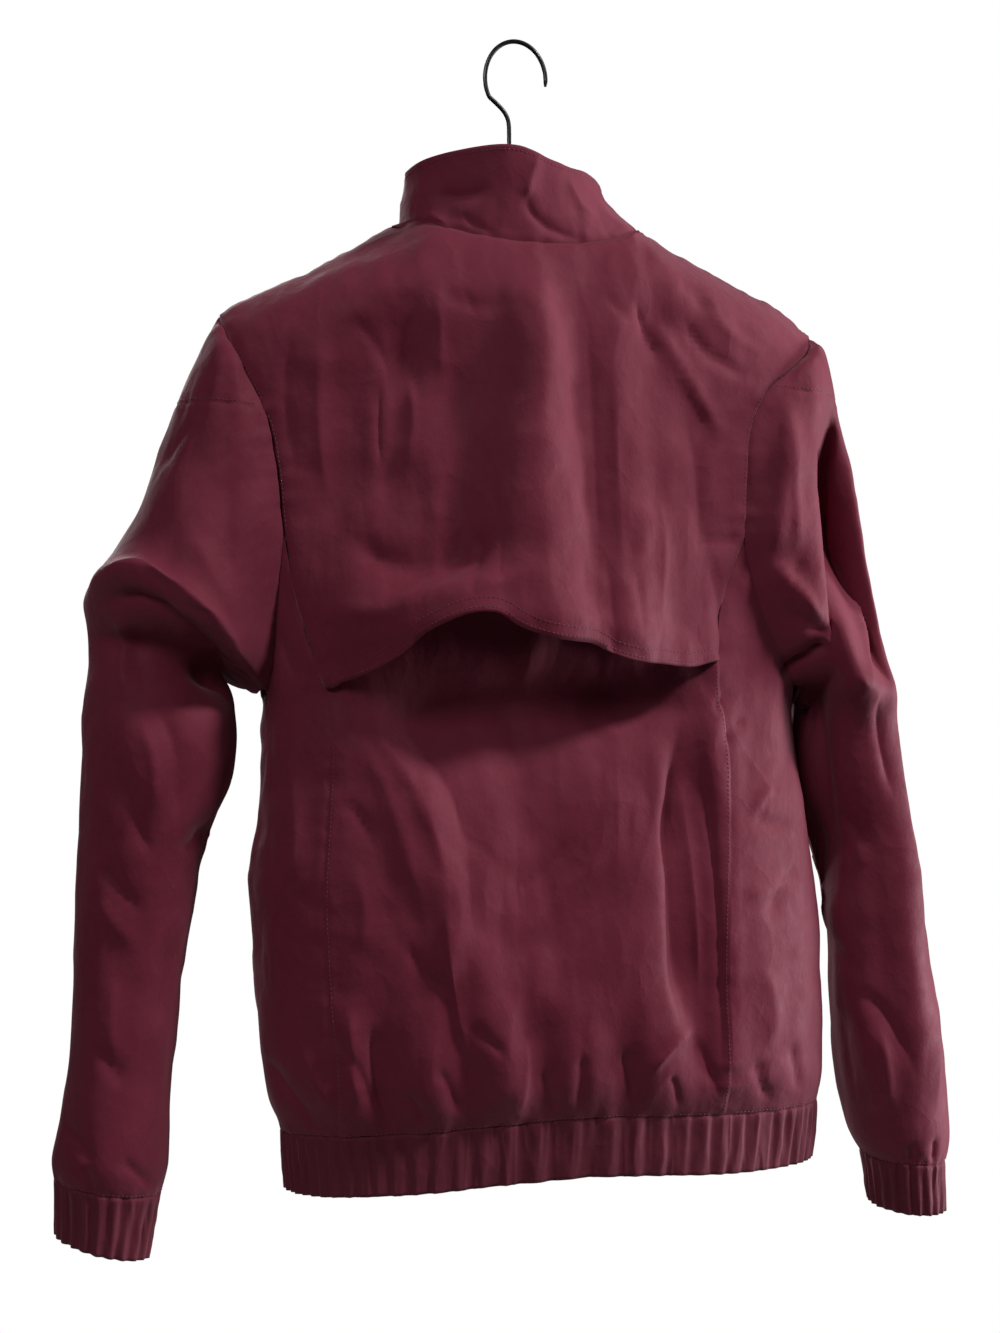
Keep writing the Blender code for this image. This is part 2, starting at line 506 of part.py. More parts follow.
def closed_row(side, spec):
    inner = (spec.inner_x, spec.middle, spec.inner_z)
    behind, before = sleeve_row(side, inner, inner, spec.outer_x, spec.outer_z,
                                (spec.back, spec.front), spec.middle)
    return join_row(behind, before)


# ---------------------------------------------------------------- solids
def grid_faces(rows, columns):
    """Two triangles to each cell, always on the same diagonal, so that layers lie parallel."""
    faces = []
    for r in range(rows - 1):
        for a in range(r * columns, (r + 1) * columns - 1):
            faces.append((a, a + 1, a + 1 + columns))
            faces.append((a, a + 1 + columns, a + columns))
    return faces


def inset(grid, edges, distance=GAP / 2):
    """Draw the named edges of a grid of points in, along its own surface, by one distance or by
    one for each point of the edge."""
    distance = np.asarray(distance, float)[..., None]
    moved = grid.copy()
    for edge in edges:
        here, inner = {"bottom": (np.s_[0], np.s_[1]), "top": (np.s_[-1], np.s_[-2]),
                       "first": (np.s_[:, 0], np.s_[:, 1]),
                       "last": (np.s_[:, -1], np.s_[:, -2])}[edge]
        way = grid[inner] - grid[here]
        size = np.linalg.norm(way, axis=-1, keepdims=True)
        moved[here] += way / np.maximum(size, 1e-9) * distance
    return moved


def place_key(point):
    """The same for points that lie together, to a hundredth of a millimetre."""
    return tuple(np.round(np.asarray(point) * 1e5).astype(int))


def weld(points, faces):
    """Merge points that coincide, and drop the faces that vanish with them."""
    keys, index, kept = {}, [], []
    for i, point in enumerate(points):
        key = place_key(point)
        if key not in keys:
            keys[key] = len(kept)
            kept.append(i)
        index.append(keys[key])
    merged = [tuple(index[i] for i in face) for face in faces]
    return kept, [face for face in merged if len(set(face)) == len(face)]


def material(name, colour, roughness, metallic=0.0):
    made = bpy.data.materials.get(name) or bpy.data.materials.new(name)
    made.use_nodes = True
    shader = made.node_tree.nodes["Principled BSDF"]
    shader.inputs["Base Color"].default_value = colour
    shader.inputs["Roughness"].default_value = roughness
    shader.inputs["Metallic"].default_value = metallic
    return made


def add_object(name, points, faces, look):
    mesh = bpy.data.meshes.new(name)
    mesh.from_pydata([tuple(map(float, p)) for p in points], [], faces)
    mesh.materials.append(look)
    mesh.validate()
    mesh.shade_smooth()
    made = bpy.data.objects.new(name, mesh)
    bpy.context.scene.collection.objects.link(made)
    return made


def point_normals(points, faces):
    normals = np.zeros((len(points), 3))
    for face in faces:
        corners = np.array([points[i] for i in face])
        total = np.zeros(3)
        for i in range(1, len(corners) - 1):
            total += np.cross(corners[i] - corners[0], corners[i + 1] - corners[0])
        for i in face:
            normals[i] += total
    return normals / np.maximum(np.linalg.norm(normals, axis=1, keepdims=True), 1e-12)


def grid_normals(grid):
    flat = grid.reshape(-1, 3)
    return point_normals(flat, grid_faces(*grid.shape[:2])).reshape(grid.shape)


def shared_normals(grids):
    """Outward directions at every grid point, averaged over all the panels that meet there, so
    that two walls end in parallel faces at their seam."""
    totals, own = {}, {}
    for name, grid in grids.items():
        own[name] = grid_normals(grid)
        centre = np.array([grid[..., 0].mean() * 0.5, 0, 0])
        own[name] *= np.sign(np.sum(own[name] * (grid - centre) * (1, 1, 0)))
        for point, normal in zip(grid.reshape(-1, 3), own[name].reshape(-1, 3)):
            key = place_key(point)
            totals[key] = totals.get(key, 0) + normal
    for name, grid in grids.items():
        total = np.array([totals[place_key(point)] for point in grid.reshape(-1, 3)])
        total = total.reshape(grid.shape)
        own[name] = total / np.linalg.norm(total, axis=-1, keepdims=True)
    return own


def wall(name, grid, look, thick=WALL, normals=None):
    """A closed wall of even thickness about a grid of points: both skins, and a rim on each free
    edge. Normals shared with its neighbours make their rims parallel."""
    if normals is None:
        normals = shared_normals({name: grid})[name]
    kept, faces = weld(grid.reshape(-1, 3), grid_faces(*grid.shape[:2]))
    points, normals = grid.reshape(-1, 3)[kept], normals.reshape(-1, 3)[kept]
    if np.sum(point_normals(points, faces) * normals) < 0:
        faces = [face[::-1] for face in faces]
    count = len(points)
    skins = np.concatenate((points + normals * thick / 2, points - normals * thick / 2))
    solid = faces + [tuple(i + count for i in reversed(face)) for face in faces]
    used = {(a, b) for face in faces for a, b in zip(face, face[1:] + face[:1])}
    solid += [(b, a, a + count, b + count) for a, b in used if (b, a) not in used]
    return add_object(name, skins, solid, look)


def box(name, low, high, look):
    """A plain block between two corners."""
    corners = [(x, y, z) for z in (low[2], high[2]) for y in (low[1], high[1])
               for x in (low[0], high[0])]
    faces = [(0, 2, 3, 1), (4, 5, 7, 6), (0, 1, 5, 4), (2, 6, 7, 3), (0, 4, 6, 2), (1, 3, 7, 5)]
    return add_object(name, corners, faces, look)


def unite(target, tool):
    """Join one solid into another with an exact union, and drop the tool."""
    cut = target.modifiers.new("union", "BOOLEAN")
    cut.operation = "UNION"
    cut.object = tool
    tool.hide_render = True
    tool.display_type = "WIRE"


# ---------------------------------------------------------------- the pieces
def make_body(look):
    back = back_grid()
    fronts = {side: front_grid(side) for side in (1, -1)}
    panels = {side: side_grid(side) for side in (1, -1)}
    grids = {"back_panel": back}
    for side, word in SIDES:
        grids["front_" + word] = fronts[side]
        grids["side_panel_" + word] = panels[side]
    normals = shared_normals(grids)
    for name, grid in grids.items():
        edges = ("last", "top", "bottom") if name.startswith("front") else EVERY_EDGE
        wall(name, inset(grid, edges), look, normals=normals[name])
    return back, fronts, panels, normals


def cape_grid(back):
    """The cape's points: the back's own points moved out, from its free edge to its top."""
    normals = grid_normals(back)
    across = (top_xs() - TIP_X[1]) / (TIP_X[-1] - TIP_X[1])
    edge_z = column(CAPE_EDGE, "across", "z", across)
    stand = column(CAPE_EDGE, "across", "stand", across)
    lowest = np.searchsorted(BODY_LEVELS, edge_z.min()) - 1
    columns = []
    for c in range(back.shape[1]):
        run, out = back[:, c], normals[:, c]
        heights = np.maximum(run[lowest:, 2], edge_z[c])
        heights = np.where(heights < edge_z[c] + CAPE_SNAP, edge_z[c], heights)
        place = np.stack([np.interp(heights, run[:, 2], run[:, i]) for i in range(3)], -1)
        way = np.stack([np.interp(heights, run[:, 2], out[:, i]) for i in range(3)], -1)
        way /= np.linalg.norm(way, axis=1, keepdims=True)
        loose = np.clip((CAPE_LOOSE_FROM_Z - heights) / (CAPE_LOOSE_FROM_Z - edge_z[c]), 0, 1)
        away = WALL + GAP + stand[c] * loose ** 1.4
        away[-1] += CAPE_NECK_LIFT * (abs(c - back.shape[1] // 2) <= NECK_STEPS // 2)
        columns.append(place + way * away[:, None])
    return np.stack(columns, 1)


def make_cape(back, look):
    grid = cape_grid(back)
    grid = inset(grid, ("first", "last"), GAP)
    at_neck = np.abs(np.arange(len(top_xs())) - len(top_xs()) // 2) <= NECK_STEPS // 2
    grid = inset(grid, ("top",), np.where(at_neck, COLLAR_CLEARANCE + GAP, GAP))
    wall("back_flap", grid, look)


def make_sleeves(back, fronts, panels, look):
    for side, word in SIDES:
        rows = sleeve_rows(side, *armholes(side, back, fronts[side], panels[side]))
        normals = shared_normals({word: rows})[word]
        seam = SEAM_STEP - 1
        upper, lower = inset(rows[:seam + 1], ("top",)), inset(rows[seam:], ("bottom", "top"))
        wall("sleeve_top_" + word, upper, look, normals=normals[:seam + 1])
        wall("sleeve_" + word, lower, look, normals=normals[seam:])
        make_cuff(side, word, look)


def make_cuff(side, word, look):
    """A gathered tube that carries on from the sleeve's last row."""
    spec, top = CUFF_BOTTOM[side], SLEEVE_ROWS[side][-1]
    count = CUFF_GATHERS * GATHER_STEPS
    angles = np.arange(count) * 2 * math.pi / count
    wave = np.cos(CUFF_GATHERS * angles) * CUFF_GATHER_RISE
    rows = []
    for row, drop in ((top, BAND_CLEARANCE), (None, 0), (spec, 0)):
        if row is None:
            row = Row(*[(a + b) / 2 for a, b in zip(top, spec)])
        half = (row.outer_x - row.inner_x) / 2 * side
        depth = (row.back - row.front) / 2
        centre = np.array([(row.outer_x + row.inner_x) / 2, row.middle + (row.back + row.front) / 2,
                           (row.outer_z + row.inner_z) / 2 - drop])
        tilt = (row.outer_z - row.inner_z) / 2
        reach, deep = half - CUFF_INSET + wave, depth - CUFF_INSET + wave
        x = centre[0] + side * reach * np.cos(angles)
        y = centre[1] + deep * np.sin(angles)
        z = centre[2] + tilt * np.cos(angles)
        ring = np.stack((x, y, z), -1)
        rows.append(np.concatenate((ring, ring[:1])))
    wall("cuff_" + word, np.array(rows), look)


def make_hem_band(look):
    """A gathered band round the hem, open at the zip, smooth beside it."""
    count = HEM_GATHERS * GATHER_STEPS
    rows = []
    for z in (HEM_SEAM_Z - BAND_CLEARANCE, (HEM_SEAM_Z + HEM_Z) / 2, HEM_Z):
        left, right = float(side_x(z, 1)), float(side_x(z, -1))
        centre, half = (left + right) / 2, (left - right) / 2
        back = float(column(BODY, "z", "back", z))
        front = float(column(BODY, "z", "front", z))
        zip_x = float(column(CENTRE_FRONT, "z", "x", z))
        start = ring_turn(zip_x + ZIP_OPENING, centre, half)
        end = ring_turn(zip_x - ZIP_OPENING, centre, half) + 2 * math.pi
        turn = np.linspace(start, end, count + 1)
        cosine, sine = np.cos(turn), np.sin(turn)
        x = half * np.sign(cosine) * np.abs(cosine) ** (2 / SQUARENESS)
        y = np.where(sine > 0, back, -front) * np.sign(sine) * np.abs(sine) ** (2 / SQUARENESS)
        order = np.arange(count + 1)
        quiet = np.clip(np.minimum(order, order[::-1]) / QUIET_COLUMNS - QUIET_SHARE, 0, 1)
        wave = HEM_GATHER_RISE * np.cos(2 * math.pi * order / GATHER_STEPS) * quiet
        scale = 1 + wave / np.hypot(x, y)
        rows.append(hung(centre + x * scale, y * scale, np.full(count + 1, z)))
    grid = np.array(rows)
    wall("hem_band", grid, look)
    return grid


def ring_turn(x, centre, half):
    """Ring angle at the front of the body for a place across it."""
    q = (x - centre) / half
    return -math.acos(math.copysign(abs(q) ** (SQUARENESS / 2), q))


def collar_grid(back, fronts):
    neck = slice(SHOULDER_STEPS, SHOULDER_STEPS + NECK_STEPS + 1)
    half = NECK_STEPS // 2
    base = np.concatenate((fronts[1][-1, :half], back[-1, neck], fronts[-1][-1, :half][::-1]))
    around = np.linspace(0, 1, len(base))
    top = np.stack([column(COLLAR_TOP, "around", axis, around) for axis in "xyz"], -1)
    bulge = column(COLLAR_TOP, "around", "bulge", around)
    middle = base.mean(axis=0)
    out = base - middle
    out[:, 2] = 0
    out /= np.linalg.norm(out, axis=1, keepdims=True)
    rows = []
    for t in np.linspace(0, 1, COLLAR_STEPS + 1):
        rows.append(base + (top - base) * t + out * (bulge * math.sin(math.pi * t) ** 3)[:, None])
    return np.array(rows)


def make_collar(back, fronts, look):
    grid = collar_grid(back, fronts)
    wall("collar", inset(grid, ("bottom",), COLLAR_CLEARANCE), look)
    return grid


def zip_edge_rows(pieces):
    """The zip's own points up one front edge: on the edge, a tape's reach in from it, and the
    outward direction, through the hem band, the front and the collar."""
    edge, reach, out = [], [], []
    for grid, normals, end in pieces:
        first, second = (0, 1) if end > 0 else (-1, -2)
        way = grid[:, second] - grid[:, first]
        way /= np.linalg.norm(way, axis=1, keepdims=True)
        edge.append(grid[:, first])
        reach.append(grid[:, first] + way * (TAPE_HALF_WIDTH - ZIP_OPENING))
        out.append(normals[:, first])
    return [np.concatenate(part) for part in (edge, reach, out)]


def make_zip(band, fronts, collar, normals, tape_look, metal):
    """Tape behind the front edges, chain between them, and the slider at the top."""
    band, band_out = band[::-1][:-1], shared_normals({"band": band})["band"][::-1][:-1]
    neck, neck_out = collar[1:], shared_normals({"collar": collar})["collar"][1:]
    sides = {}
    for side, word in SIDES:
        pieces = [(band, band_out, side), (fronts[side], normals["front_" + word], 1),
                  (neck, neck_out, side)]
        sides[side] = zip_edge_rows(pieces)
    depth = (WALL + TAPE_THICK) / 2 + GAP + TAPE_CLEARANCE
    (left, left_reach, left_out), (right, right_reach, right_out) = sides[1], sides[-1]
    tape = np.stack((left_reach - left_out * depth, left - left_out * depth,
                     right - right_out * depth, right_reach - right_out * depth), 1)
    wall("zip_tape", tape, tape_look, TAPE_THICK)
    middle, out = (tape[:, 1] + tape[:, 2]) / 2, left_out + right_out
    out[:, 0] = 0
    out /= np.linalg.norm(out, axis=1, keepdims=True)
    low = middle[-1, 2] - SLIDER_HEIGHT
    line = middle + out * (TAPE_THICK / 2 + GAP + CHAIN_THICK / 2)
    keep = line[:, 2] < low - CHAIN_END_RUN
    end = np.array([[np.interp(low - GAP, line[:, 2], line[:, i]) for i in range(3)]])
    line = np.concatenate((line[keep], end))
    aside = np.array([CHAIN_HALF_WIDTH, 0, 0])
    wall("zip_chain", np.stack((line + aside, line - aside), 1), metal, CHAIN_THICK)
    make_slider(middle[-1, 0], middle[-1, 1] - TAPE_THICK / 2 - GAP - SLIDER_CLEARANCE, low, metal)


def make_slider(x, back_y, low_z, metal):
    """Slider body with its bridge, and the pull tab whose bar turns under the bridge."""
    front_y = back_y - SLIDER_THICK
    middle_z = low_z + SLIDER_HEIGHT / 2
    body = box("zip_slider", (x - SLIDER_HALF_WIDTH, front_y, low_z),
               (x + SLIDER_HALF_WIDTH, back_y, low_z + SLIDER_HEIGHT), metal)
    out_y = front_y - BRIDGE_OPENING - BRIDGE_THICK
    foot_z, top_z = middle_z - BRIDGE_HEIGHT / 2, middle_z + BRIDGE_HEIGHT / 2
    low_x, high_x = x - BRIDGE_HALF_WIDTH, x + BRIDGE_HALF_WIDTH
    for name, z0 in (("bridge_top", top_z - BRIDGE_THICK), ("bridge_foot", foot_z)):
        unite(body, box(name, (low_x, out_y, z0),
                        (high_x, front_y + UNION_OVERLAP, z0 + BRIDGE_THICK), metal))
    unite(body, box("bridge_bar", (low_x, out_y, foot_z + BAR_SHORT),
                    (high_x, out_y + BRIDGE_THICK, top_z - BAR_SHORT), metal))
    make_pull(x, front_y - BRIDGE_OPENING / 2, middle_z, metal)


def make_pull(x, y, z, metal):
    """The pull tab hangs from a bar through the bridge; its own origin is on that bar."""
    half, bar = PULL_WIDTH / 2, PULL_BAR / 2
    corner_x, corner_z = half - PULL_CORNER, PULL_CORNER - PULL_LENGTH
    hole_x, hole_z = half - PULL_ARM, -bar - PULL_EYE_HEIGHT
    shape = [(-half, bar), (half, bar), (half, corner_z), (corner_x, -PULL_LENGTH),
             (-corner_x, -PULL_LENGTH), (-half, corner_z)]
    hole = [(-hole_x, -bar), (hole_x, -bar), (hole_x, hole_z), (-hole_x, hole_z)]
    flat = shape + hole
    thick = PULL_THICK / 2
    points = [(px, -thick, pz) for px, pz in flat] + [(px, thick, pz) for px, pz in flat]
    count = len(flat)
    front = [(0, 6, 7, 1), (1, 7, 8, 2), (2, 8, 9, 5), (2, 5, 4, 3), (5, 9, 6, 0)]
    faces = front + [tuple(i + count for i in reversed(face)) for face in front]
    for ring, outward in (((0, 1, 2, 3, 4, 5), True), ((6, 7, 8, 9), False)):
        for a, b in zip(ring, ring[1:] + ring[:1]):
            side = (a, b, b + count, a + count)
            faces.append(side if outward else side[::-1])
    made = add_object("zip_pull_tab", points, faces, metal)
    made.location = (x, y, z)
    return made


def tube(name, route, radius, look, sides=2):
    """A round bar along a route, with closed ends."""
    shape = bpy.data.curves.new(name, "CURVE")
    shape.dimensions = "3D"
    shape.bevel_depth = radius
    shape.bevel_resolution = sides
    shape.use_fill_caps = True
    line = shape.splines.new("POLY")
    line.points.add(len(route) - 1)
    for point, place in zip(line.points, route):
        point.co = (*map(float, place), 1.0)
    shape.materials.append(look)
    made = bpy.data.objects.new(name, shape)
    bpy.context.scene.collection.objects.link(made)
    return made


def make_hanger(steel):
    """Hook and stem in one wire; the arms lie close under the shoulder seams."""
    centre_z = WIRE_RADIUS - HOOK_HALF_HEIGHT
    turn = np.radians(np.linspace(*HOOK_TURN, HOOK_STEPS))
    route = [(HOOK_HALF_WIDTH * math.cos(a), 0, centre_z + HOOK_HALF_HEIGHT * math.sin(a))
             for a in turn]
    route += [(bend.x, 0, bend.z) for bend in NECK_BEND]
    route.append((STEM_X, 0, ARM_CROWN_Z + ARM_RADIUS + GAP))
    tube("hanger_hook", route, WIRE_RADIUS, steel)
    under = WALL / 2 + GAP + ARM_RADIUS
    arms = []
    for side in (1, -1):
        outward = np.linspace(1, 0, ARM_STEPS)
        xs = NECK_X[side] + (ARM_END_X[side] - NECK_X[side]) * outward
        drops = under * (ARM_DROP[0] + (ARM_DROP[1] - ARM_DROP[0]) * outward)
        line = [(x, 0, float(top_line(x, 1)[0]) - drop) for x, drop in zip(xs, drops)]
        start_z = line[-1][2]
        for t in CROWN_SHARES:
            x = NECK_X[side] + (STEM_X - NECK_X[side]) * t
            line.append((x, 0, start_z + (ARM_CROWN_Z - start_z) * math.sin(t * math.pi / 2)))
        arms.append(line)
    route = arms[0] + [(STEM_X, 0, ARM_CROWN_Z)] + arms[1][::-1]
    tube("hanger_arms", route, ARM_RADIUS, steel)


def main():
    for old in list(bpy.data.objects):
        bpy.data.objects.remove(old)
    nylon = material("nylon", BURGUNDY, 0.55)
    elastic = material("gathered_nylon", DARK_BURGUNDY, 0.6)
    steel = material("steel_wire", STEEL, 0.35, 1.0)
    tape = material("zip_tape", DARK_BURGUNDY, 0.8)
    zip_metal = material("zip_metal", STEEL, 0.4, 0.9)
    back, fronts, panels, normals = make_body(nylon)
    make_cape(back, nylon)
    make_sleeves(back, fronts, panels, nylon)
    band = make_hem_band(elastic)
    collar = make_collar(back, fronts, nylon)
    make_zip(band, fronts, collar, normals, tape, zip_metal)
    make_hanger(steel)


main()
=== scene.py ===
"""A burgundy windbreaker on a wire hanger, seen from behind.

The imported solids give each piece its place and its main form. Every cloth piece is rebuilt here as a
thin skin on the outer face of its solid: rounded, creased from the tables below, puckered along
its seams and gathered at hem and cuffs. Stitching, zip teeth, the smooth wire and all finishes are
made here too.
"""

import itertools
import math
from collections import namedtuple

import bmesh
import bpy
import numpy as np
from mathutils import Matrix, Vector
from mathutils.bvhtree import BVHTree
from mathutils.kdtree import KDTree


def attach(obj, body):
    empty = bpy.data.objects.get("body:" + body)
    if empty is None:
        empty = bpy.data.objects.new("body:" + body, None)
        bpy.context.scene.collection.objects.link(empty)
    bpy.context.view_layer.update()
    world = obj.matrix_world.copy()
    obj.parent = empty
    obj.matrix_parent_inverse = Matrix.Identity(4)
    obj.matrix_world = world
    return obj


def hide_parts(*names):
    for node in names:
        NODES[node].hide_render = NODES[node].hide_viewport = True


MM = 0.001
SCENE = bpy.context.scene

# ---------------------------------------------------------------- tables

# One row a cloth piece. core: whether outward is judged from the body's axis or the piece's own middle.
# shell: thickness in millimetres where its inside shows. gather: 1 for a band on elastic. width, length
# and area: the flat cut, in metres.
Piece = namedtuple("Piece", "node slot core shell gather width length area held")
PIECES = [
    Piece("back_panel", "nylon", "axis", 0, 0, 0.44, 0.61, 0.190, "hung"),
    Piece("back_flap", "nylon", "axis", 0.9, 0, 0.46, 0.33, 0.108, "hung"),
    Piece("side_panel_left", "nylon", "axis", 0, 0, 0.14, 0.41, 0.046, "hung"),
    Piece("side_panel_right", "nylon", "axis", 0, 0, 0.17, 0.42, 0.058, "hung"),
    Piece("front_left", "nylon", "axis", 0, 0, 0.23, 0.61, 0.100, "hung"),
    Piece("front_right", "nylon", "axis", 0, 0, 0.23, 0.61, 0.096, "hung"),
    Piece("sleeve_top_left", "nylon", "axis", 0, 0, 0.18, 0.08, 0.008, "hung"),
    Piece("sleeve_top_right", "nylon", "axis", 0, 0, 0.18, 0.08, 0.007, "hung"),
    Piece("sleeve_left", "nylon", "own", 0, 0, 0.36, 0.56, 0.148, "hung"),
    Piece("sleeve_right", "nylon", "own", 0, 0, 0.36, 0.56, 0.153, "hung"),
    Piece("collar", "nylon", "axis", 1.0, 0, 0.46, 0.07, 0.028, "hung"),
    Piece("hem_band", "gathered_nylon", "axis", 1.0, 1, 0.98, 0.045, 0.044, "gathered"),
    Piece("cuff_left", "gathered_nylon", "own", 1.0, 1, 0.20, 0.045, 0.009, "gathered"),
    Piece("cuff_right", "gathered_nylon", "own", 1.0, 1, 0.20, 0.045, 0.009, "gathered"),
]

# Creases listed one by one, in millimetres. Each runs from (x0, z0) by (x1, z1) to (x2, z2) on one face of
# the garment. A rise below nought is a trough, and lean steepens the flank on its left (above nought)
# or right.
Crease = namedtuple("Crease", "x0 z0 x1 z1 x2 z2 wide rise lean", defaults=(0,))

CAPE_FORMS = [
    # the broad hollow left of the middle and the tall ridge beside it
    Crease(82, -170, 90, -262, 104, -352, 50, -14, -0.4),
    Crease(0, -156, 6, -262, 36, -358, 62, 12, -0.6),
    Crease(118, -190, 126, -280, 132, -384, 64, -8, -0.4),
    Crease(-46, -200, -50, -290, -50, -370, 20, -3),
    # the billow under the hollow, and the free edge standing off
    Crease(130, -328, 84, -358, 26, -332, 25, -11, 0.6),
    Crease(152, -385, 75, -376, -10, -352, 20, 7, -0.3),
    Crease(150, -412, 10, -388, -134, -416, 52, 10),
]
BACK_FORMS = [
    # the back falls in below the cape, then hangs straight
    Crease(134, -456, 10, -440, -124, -448, 42, -27),
    Crease(20, -430, 4, -520, -24, -640, 46, -8),
    Crease(136, -440, 94, -500, 70, -610, 24, 6, -0.5),
    Crease(-98, -455, -94, -560, -100, -660, 13, -9),
]
SLEEVE_FORMS = [
    # left: the elbow's heavy fold over a deep hollow
    Crease(288, -376, 236, -366, 168, -436, 12, 8, 0.6),
    Crease(290, -398, 226, -414, 162, -444, 22, -13, -0.5),
    # right: the deep hollow behind the armhole, running on between sleeve and body
    Crease(-206, -262, -211, -340, -198, -420, 9, -16),
    Crease(-217, -240, -229, -340, -228, -440, 9, 10, 0.7),
    Crease(-198, -380, -208, -480, -226, -600, 18, -11, -0.4),
]
CAPE_CREASES = [
    # the fold beside the tall ridge
    Crease(-31, -190, -34, -270, -36, -360, 7, -2.1),
    Crease(-46, -210, -49, -290, -50, -385, 10, 2.3, 0.2),
    # soft ridges standing in the hollow
    Crease(10, -186, 45, -190, 60, -176, 9, -1.4),
    Crease(66, -176, 64, -205, 61, -236, 8, 2.8, 0.2),
    Crease(75, -214, 78, -232, 74, -252, 6, -2.1),
    Crease(84, -232, 80, -262, 88, -304, 9, 3.4, 0.3),
    Crease(102, -236, 104, -265, 101, -294, 8, -3),
    Crease(49, -178, 46, -186, 40, -196, 5, -1.1),
    Crease(123, -198, 106, -212, 94, -236, 7, -1.6),
    # beside the left armhole
    Crease(137, -206, 140, -260, 134, -322, 9, 2.8),
    Crease(156, -206, 160, -250, 153, -300, 7, -2.3),
    # the right shoulder's drag lines, fanning down from the neck
    Crease(-62, -178, -70, -202, -84, -222, 7, -4.1),
    Crease(-76, -196, -98, -228, -131, -278, 9, 3.7, 0.4),
    Crease(-92, -168, -106, -176, -118, -192, 6, -2.5),
    Crease(-98, -186, -114, -214, -156, -231, 6, -3),
    Crease(-112, -182, -134, -202, -160, -212, 8, 2.1),
    Crease(-40, -176, -52, -190, -63, -204, 6, -1.5),
    Crease(-98, -250, -106, -300, -108, -350, 12, -2.3),
    Crease(-104, -331, -122, -337, -143, -331, 6, -2.5),
    Crease(-112, -338, -122, -372, -126, -408, 8, -2.5),
    Crease(-76, -300, -80, -350, -74, -400, 12, 2.3),
    # fine upright folds above the free edge
    Crease(-40, -345, -42, -375, -41, -398, 5, -1.6),
    Crease(-58, -352, -60, -380, -61, -402, 5, -1.4),
    Crease(40, -330, 44, -356, 50, -384, 8, -1.8),
    # the shoulder line
    Crease(150, -180, 120, -165, 92, -160, 8, 1.1),
    Crease(174, -205, 160, -196, 146, -198, 6, -1.1),
]
BACK_CREASES = [
    # pleats down the right princess seam
    Crease(-102, -440, -88, -560, -94, -655, 9, -5.6, 0.3),
    Crease(-98, -480, -104, -560, -108, -650, 7, 4.5),
    Crease(-111, -470, -119, -560, -122, -700, 6, -3.6),
    Crease(-70, -682, -86, -662, -106, -652, 6, 3.6, 0.3),
    Crease(-104, -655, -112, -676, -123, -700, 6, -3.4),
    # long diagonal drag lines over the middle
    Crease(-54, -530, -18, -562, 18, -596, 12, 2.8, 0.4),
    Crease(-30, -520, 0, -552, 34, -572, 14, -2.5),
    Crease(60, -500, 30, -540, 0, -560, 16, -2.2),
    # the lit band on the left and the creases that cross it
    Crease(128, -438, 80, -494, 62, -560, 16, 4.8, 0.5),
    Crease(62, -560, 56, -620, 40, -680, 12, 4.2, 0.5),
    Crease(100, -440, 62, -486, 44, -550, 14, -3.6),
    Crease(88, -590, 74, -610, 58, -624, 6, -3.4),
    Crease(106, -640, 104, -674, 93, -712, 8, -5, 0.3),
    Crease(118, -630, 118, -665, 112, -700, 7, 3.6),
    Crease(134, -642, 114, -674, 100, -708, 7, -3.9),
    Crease(46, -640, 36, -652, 22, -664, 5, -2.5),
    Crease(67, -668, 58, -684, 49, -704, 6, -3.1),
    Crease(85, -686, 78, -696, 70, -708, 5, -2.8),
    Crease(127, -504, 114, -512, 103, -530, 6, -2.2),
    Crease(152, -560, 142, -568, 128, -567, 5, -2),
    Crease(120, -540, 110, -572, 118, -602, 12, 2.5),
    # short ones drawn up by the hem
    Crease(-25, -664, -26, -680, -25, -706, 5, -2.5),
    Crease(-53, -660, -58, -680, -64, -700, 6, -3.1),
    Crease(-1, -672, -6, -688, -13, -706, 5, -2.5),
    Crease(12, -650, 10, -676, 14, -708, 9, 2.2),
    Crease(-84, -680, -90, -690, -94, -706, 5, -2.1),
    # the right side panel and its seam
    Crease(-119, -450, -126, -440, -134, -433, 5, -2.2),
    Crease(-126, -470, -134, -458, -146, -456, 5, -2.2),
    Crease(-146, -515, -162, -522, -182, -521, 6, -2.8),
    Crease(-166, -498, -156, -504, -147, -518, 5, 2.5),
    Crease(-184, -550, -168, -564, -154, -588, 7, -2.8),
    Crease(-136, -566, -158, -566, -184, -555, 7, 2.8),
    Crease(-148, -672, -152, -690, -163, -708, 6, -3.1),
    Crease(-176, -664, -180, -684, -184, -704, 6, -2.8),
    Crease(-150, -610, -160, -640, -156, -670, 10, 2.8),
    # the left side, drawn in under the arm
    Crease(161, -388, 158, -408, 150, -428, 7, -3.1),
    Crease(147, -382, 143, -406, 134, -432, 8, 2.8),
    Crease(158, -470, 152, -520, 158, -560, 9, 2.5),
    Crease(171, -668, 156, -690, 136, -716, 8, -4.2, 0.3),
    Crease(150, -655, 140, -680, 128, -700, 7, 3.1),
]
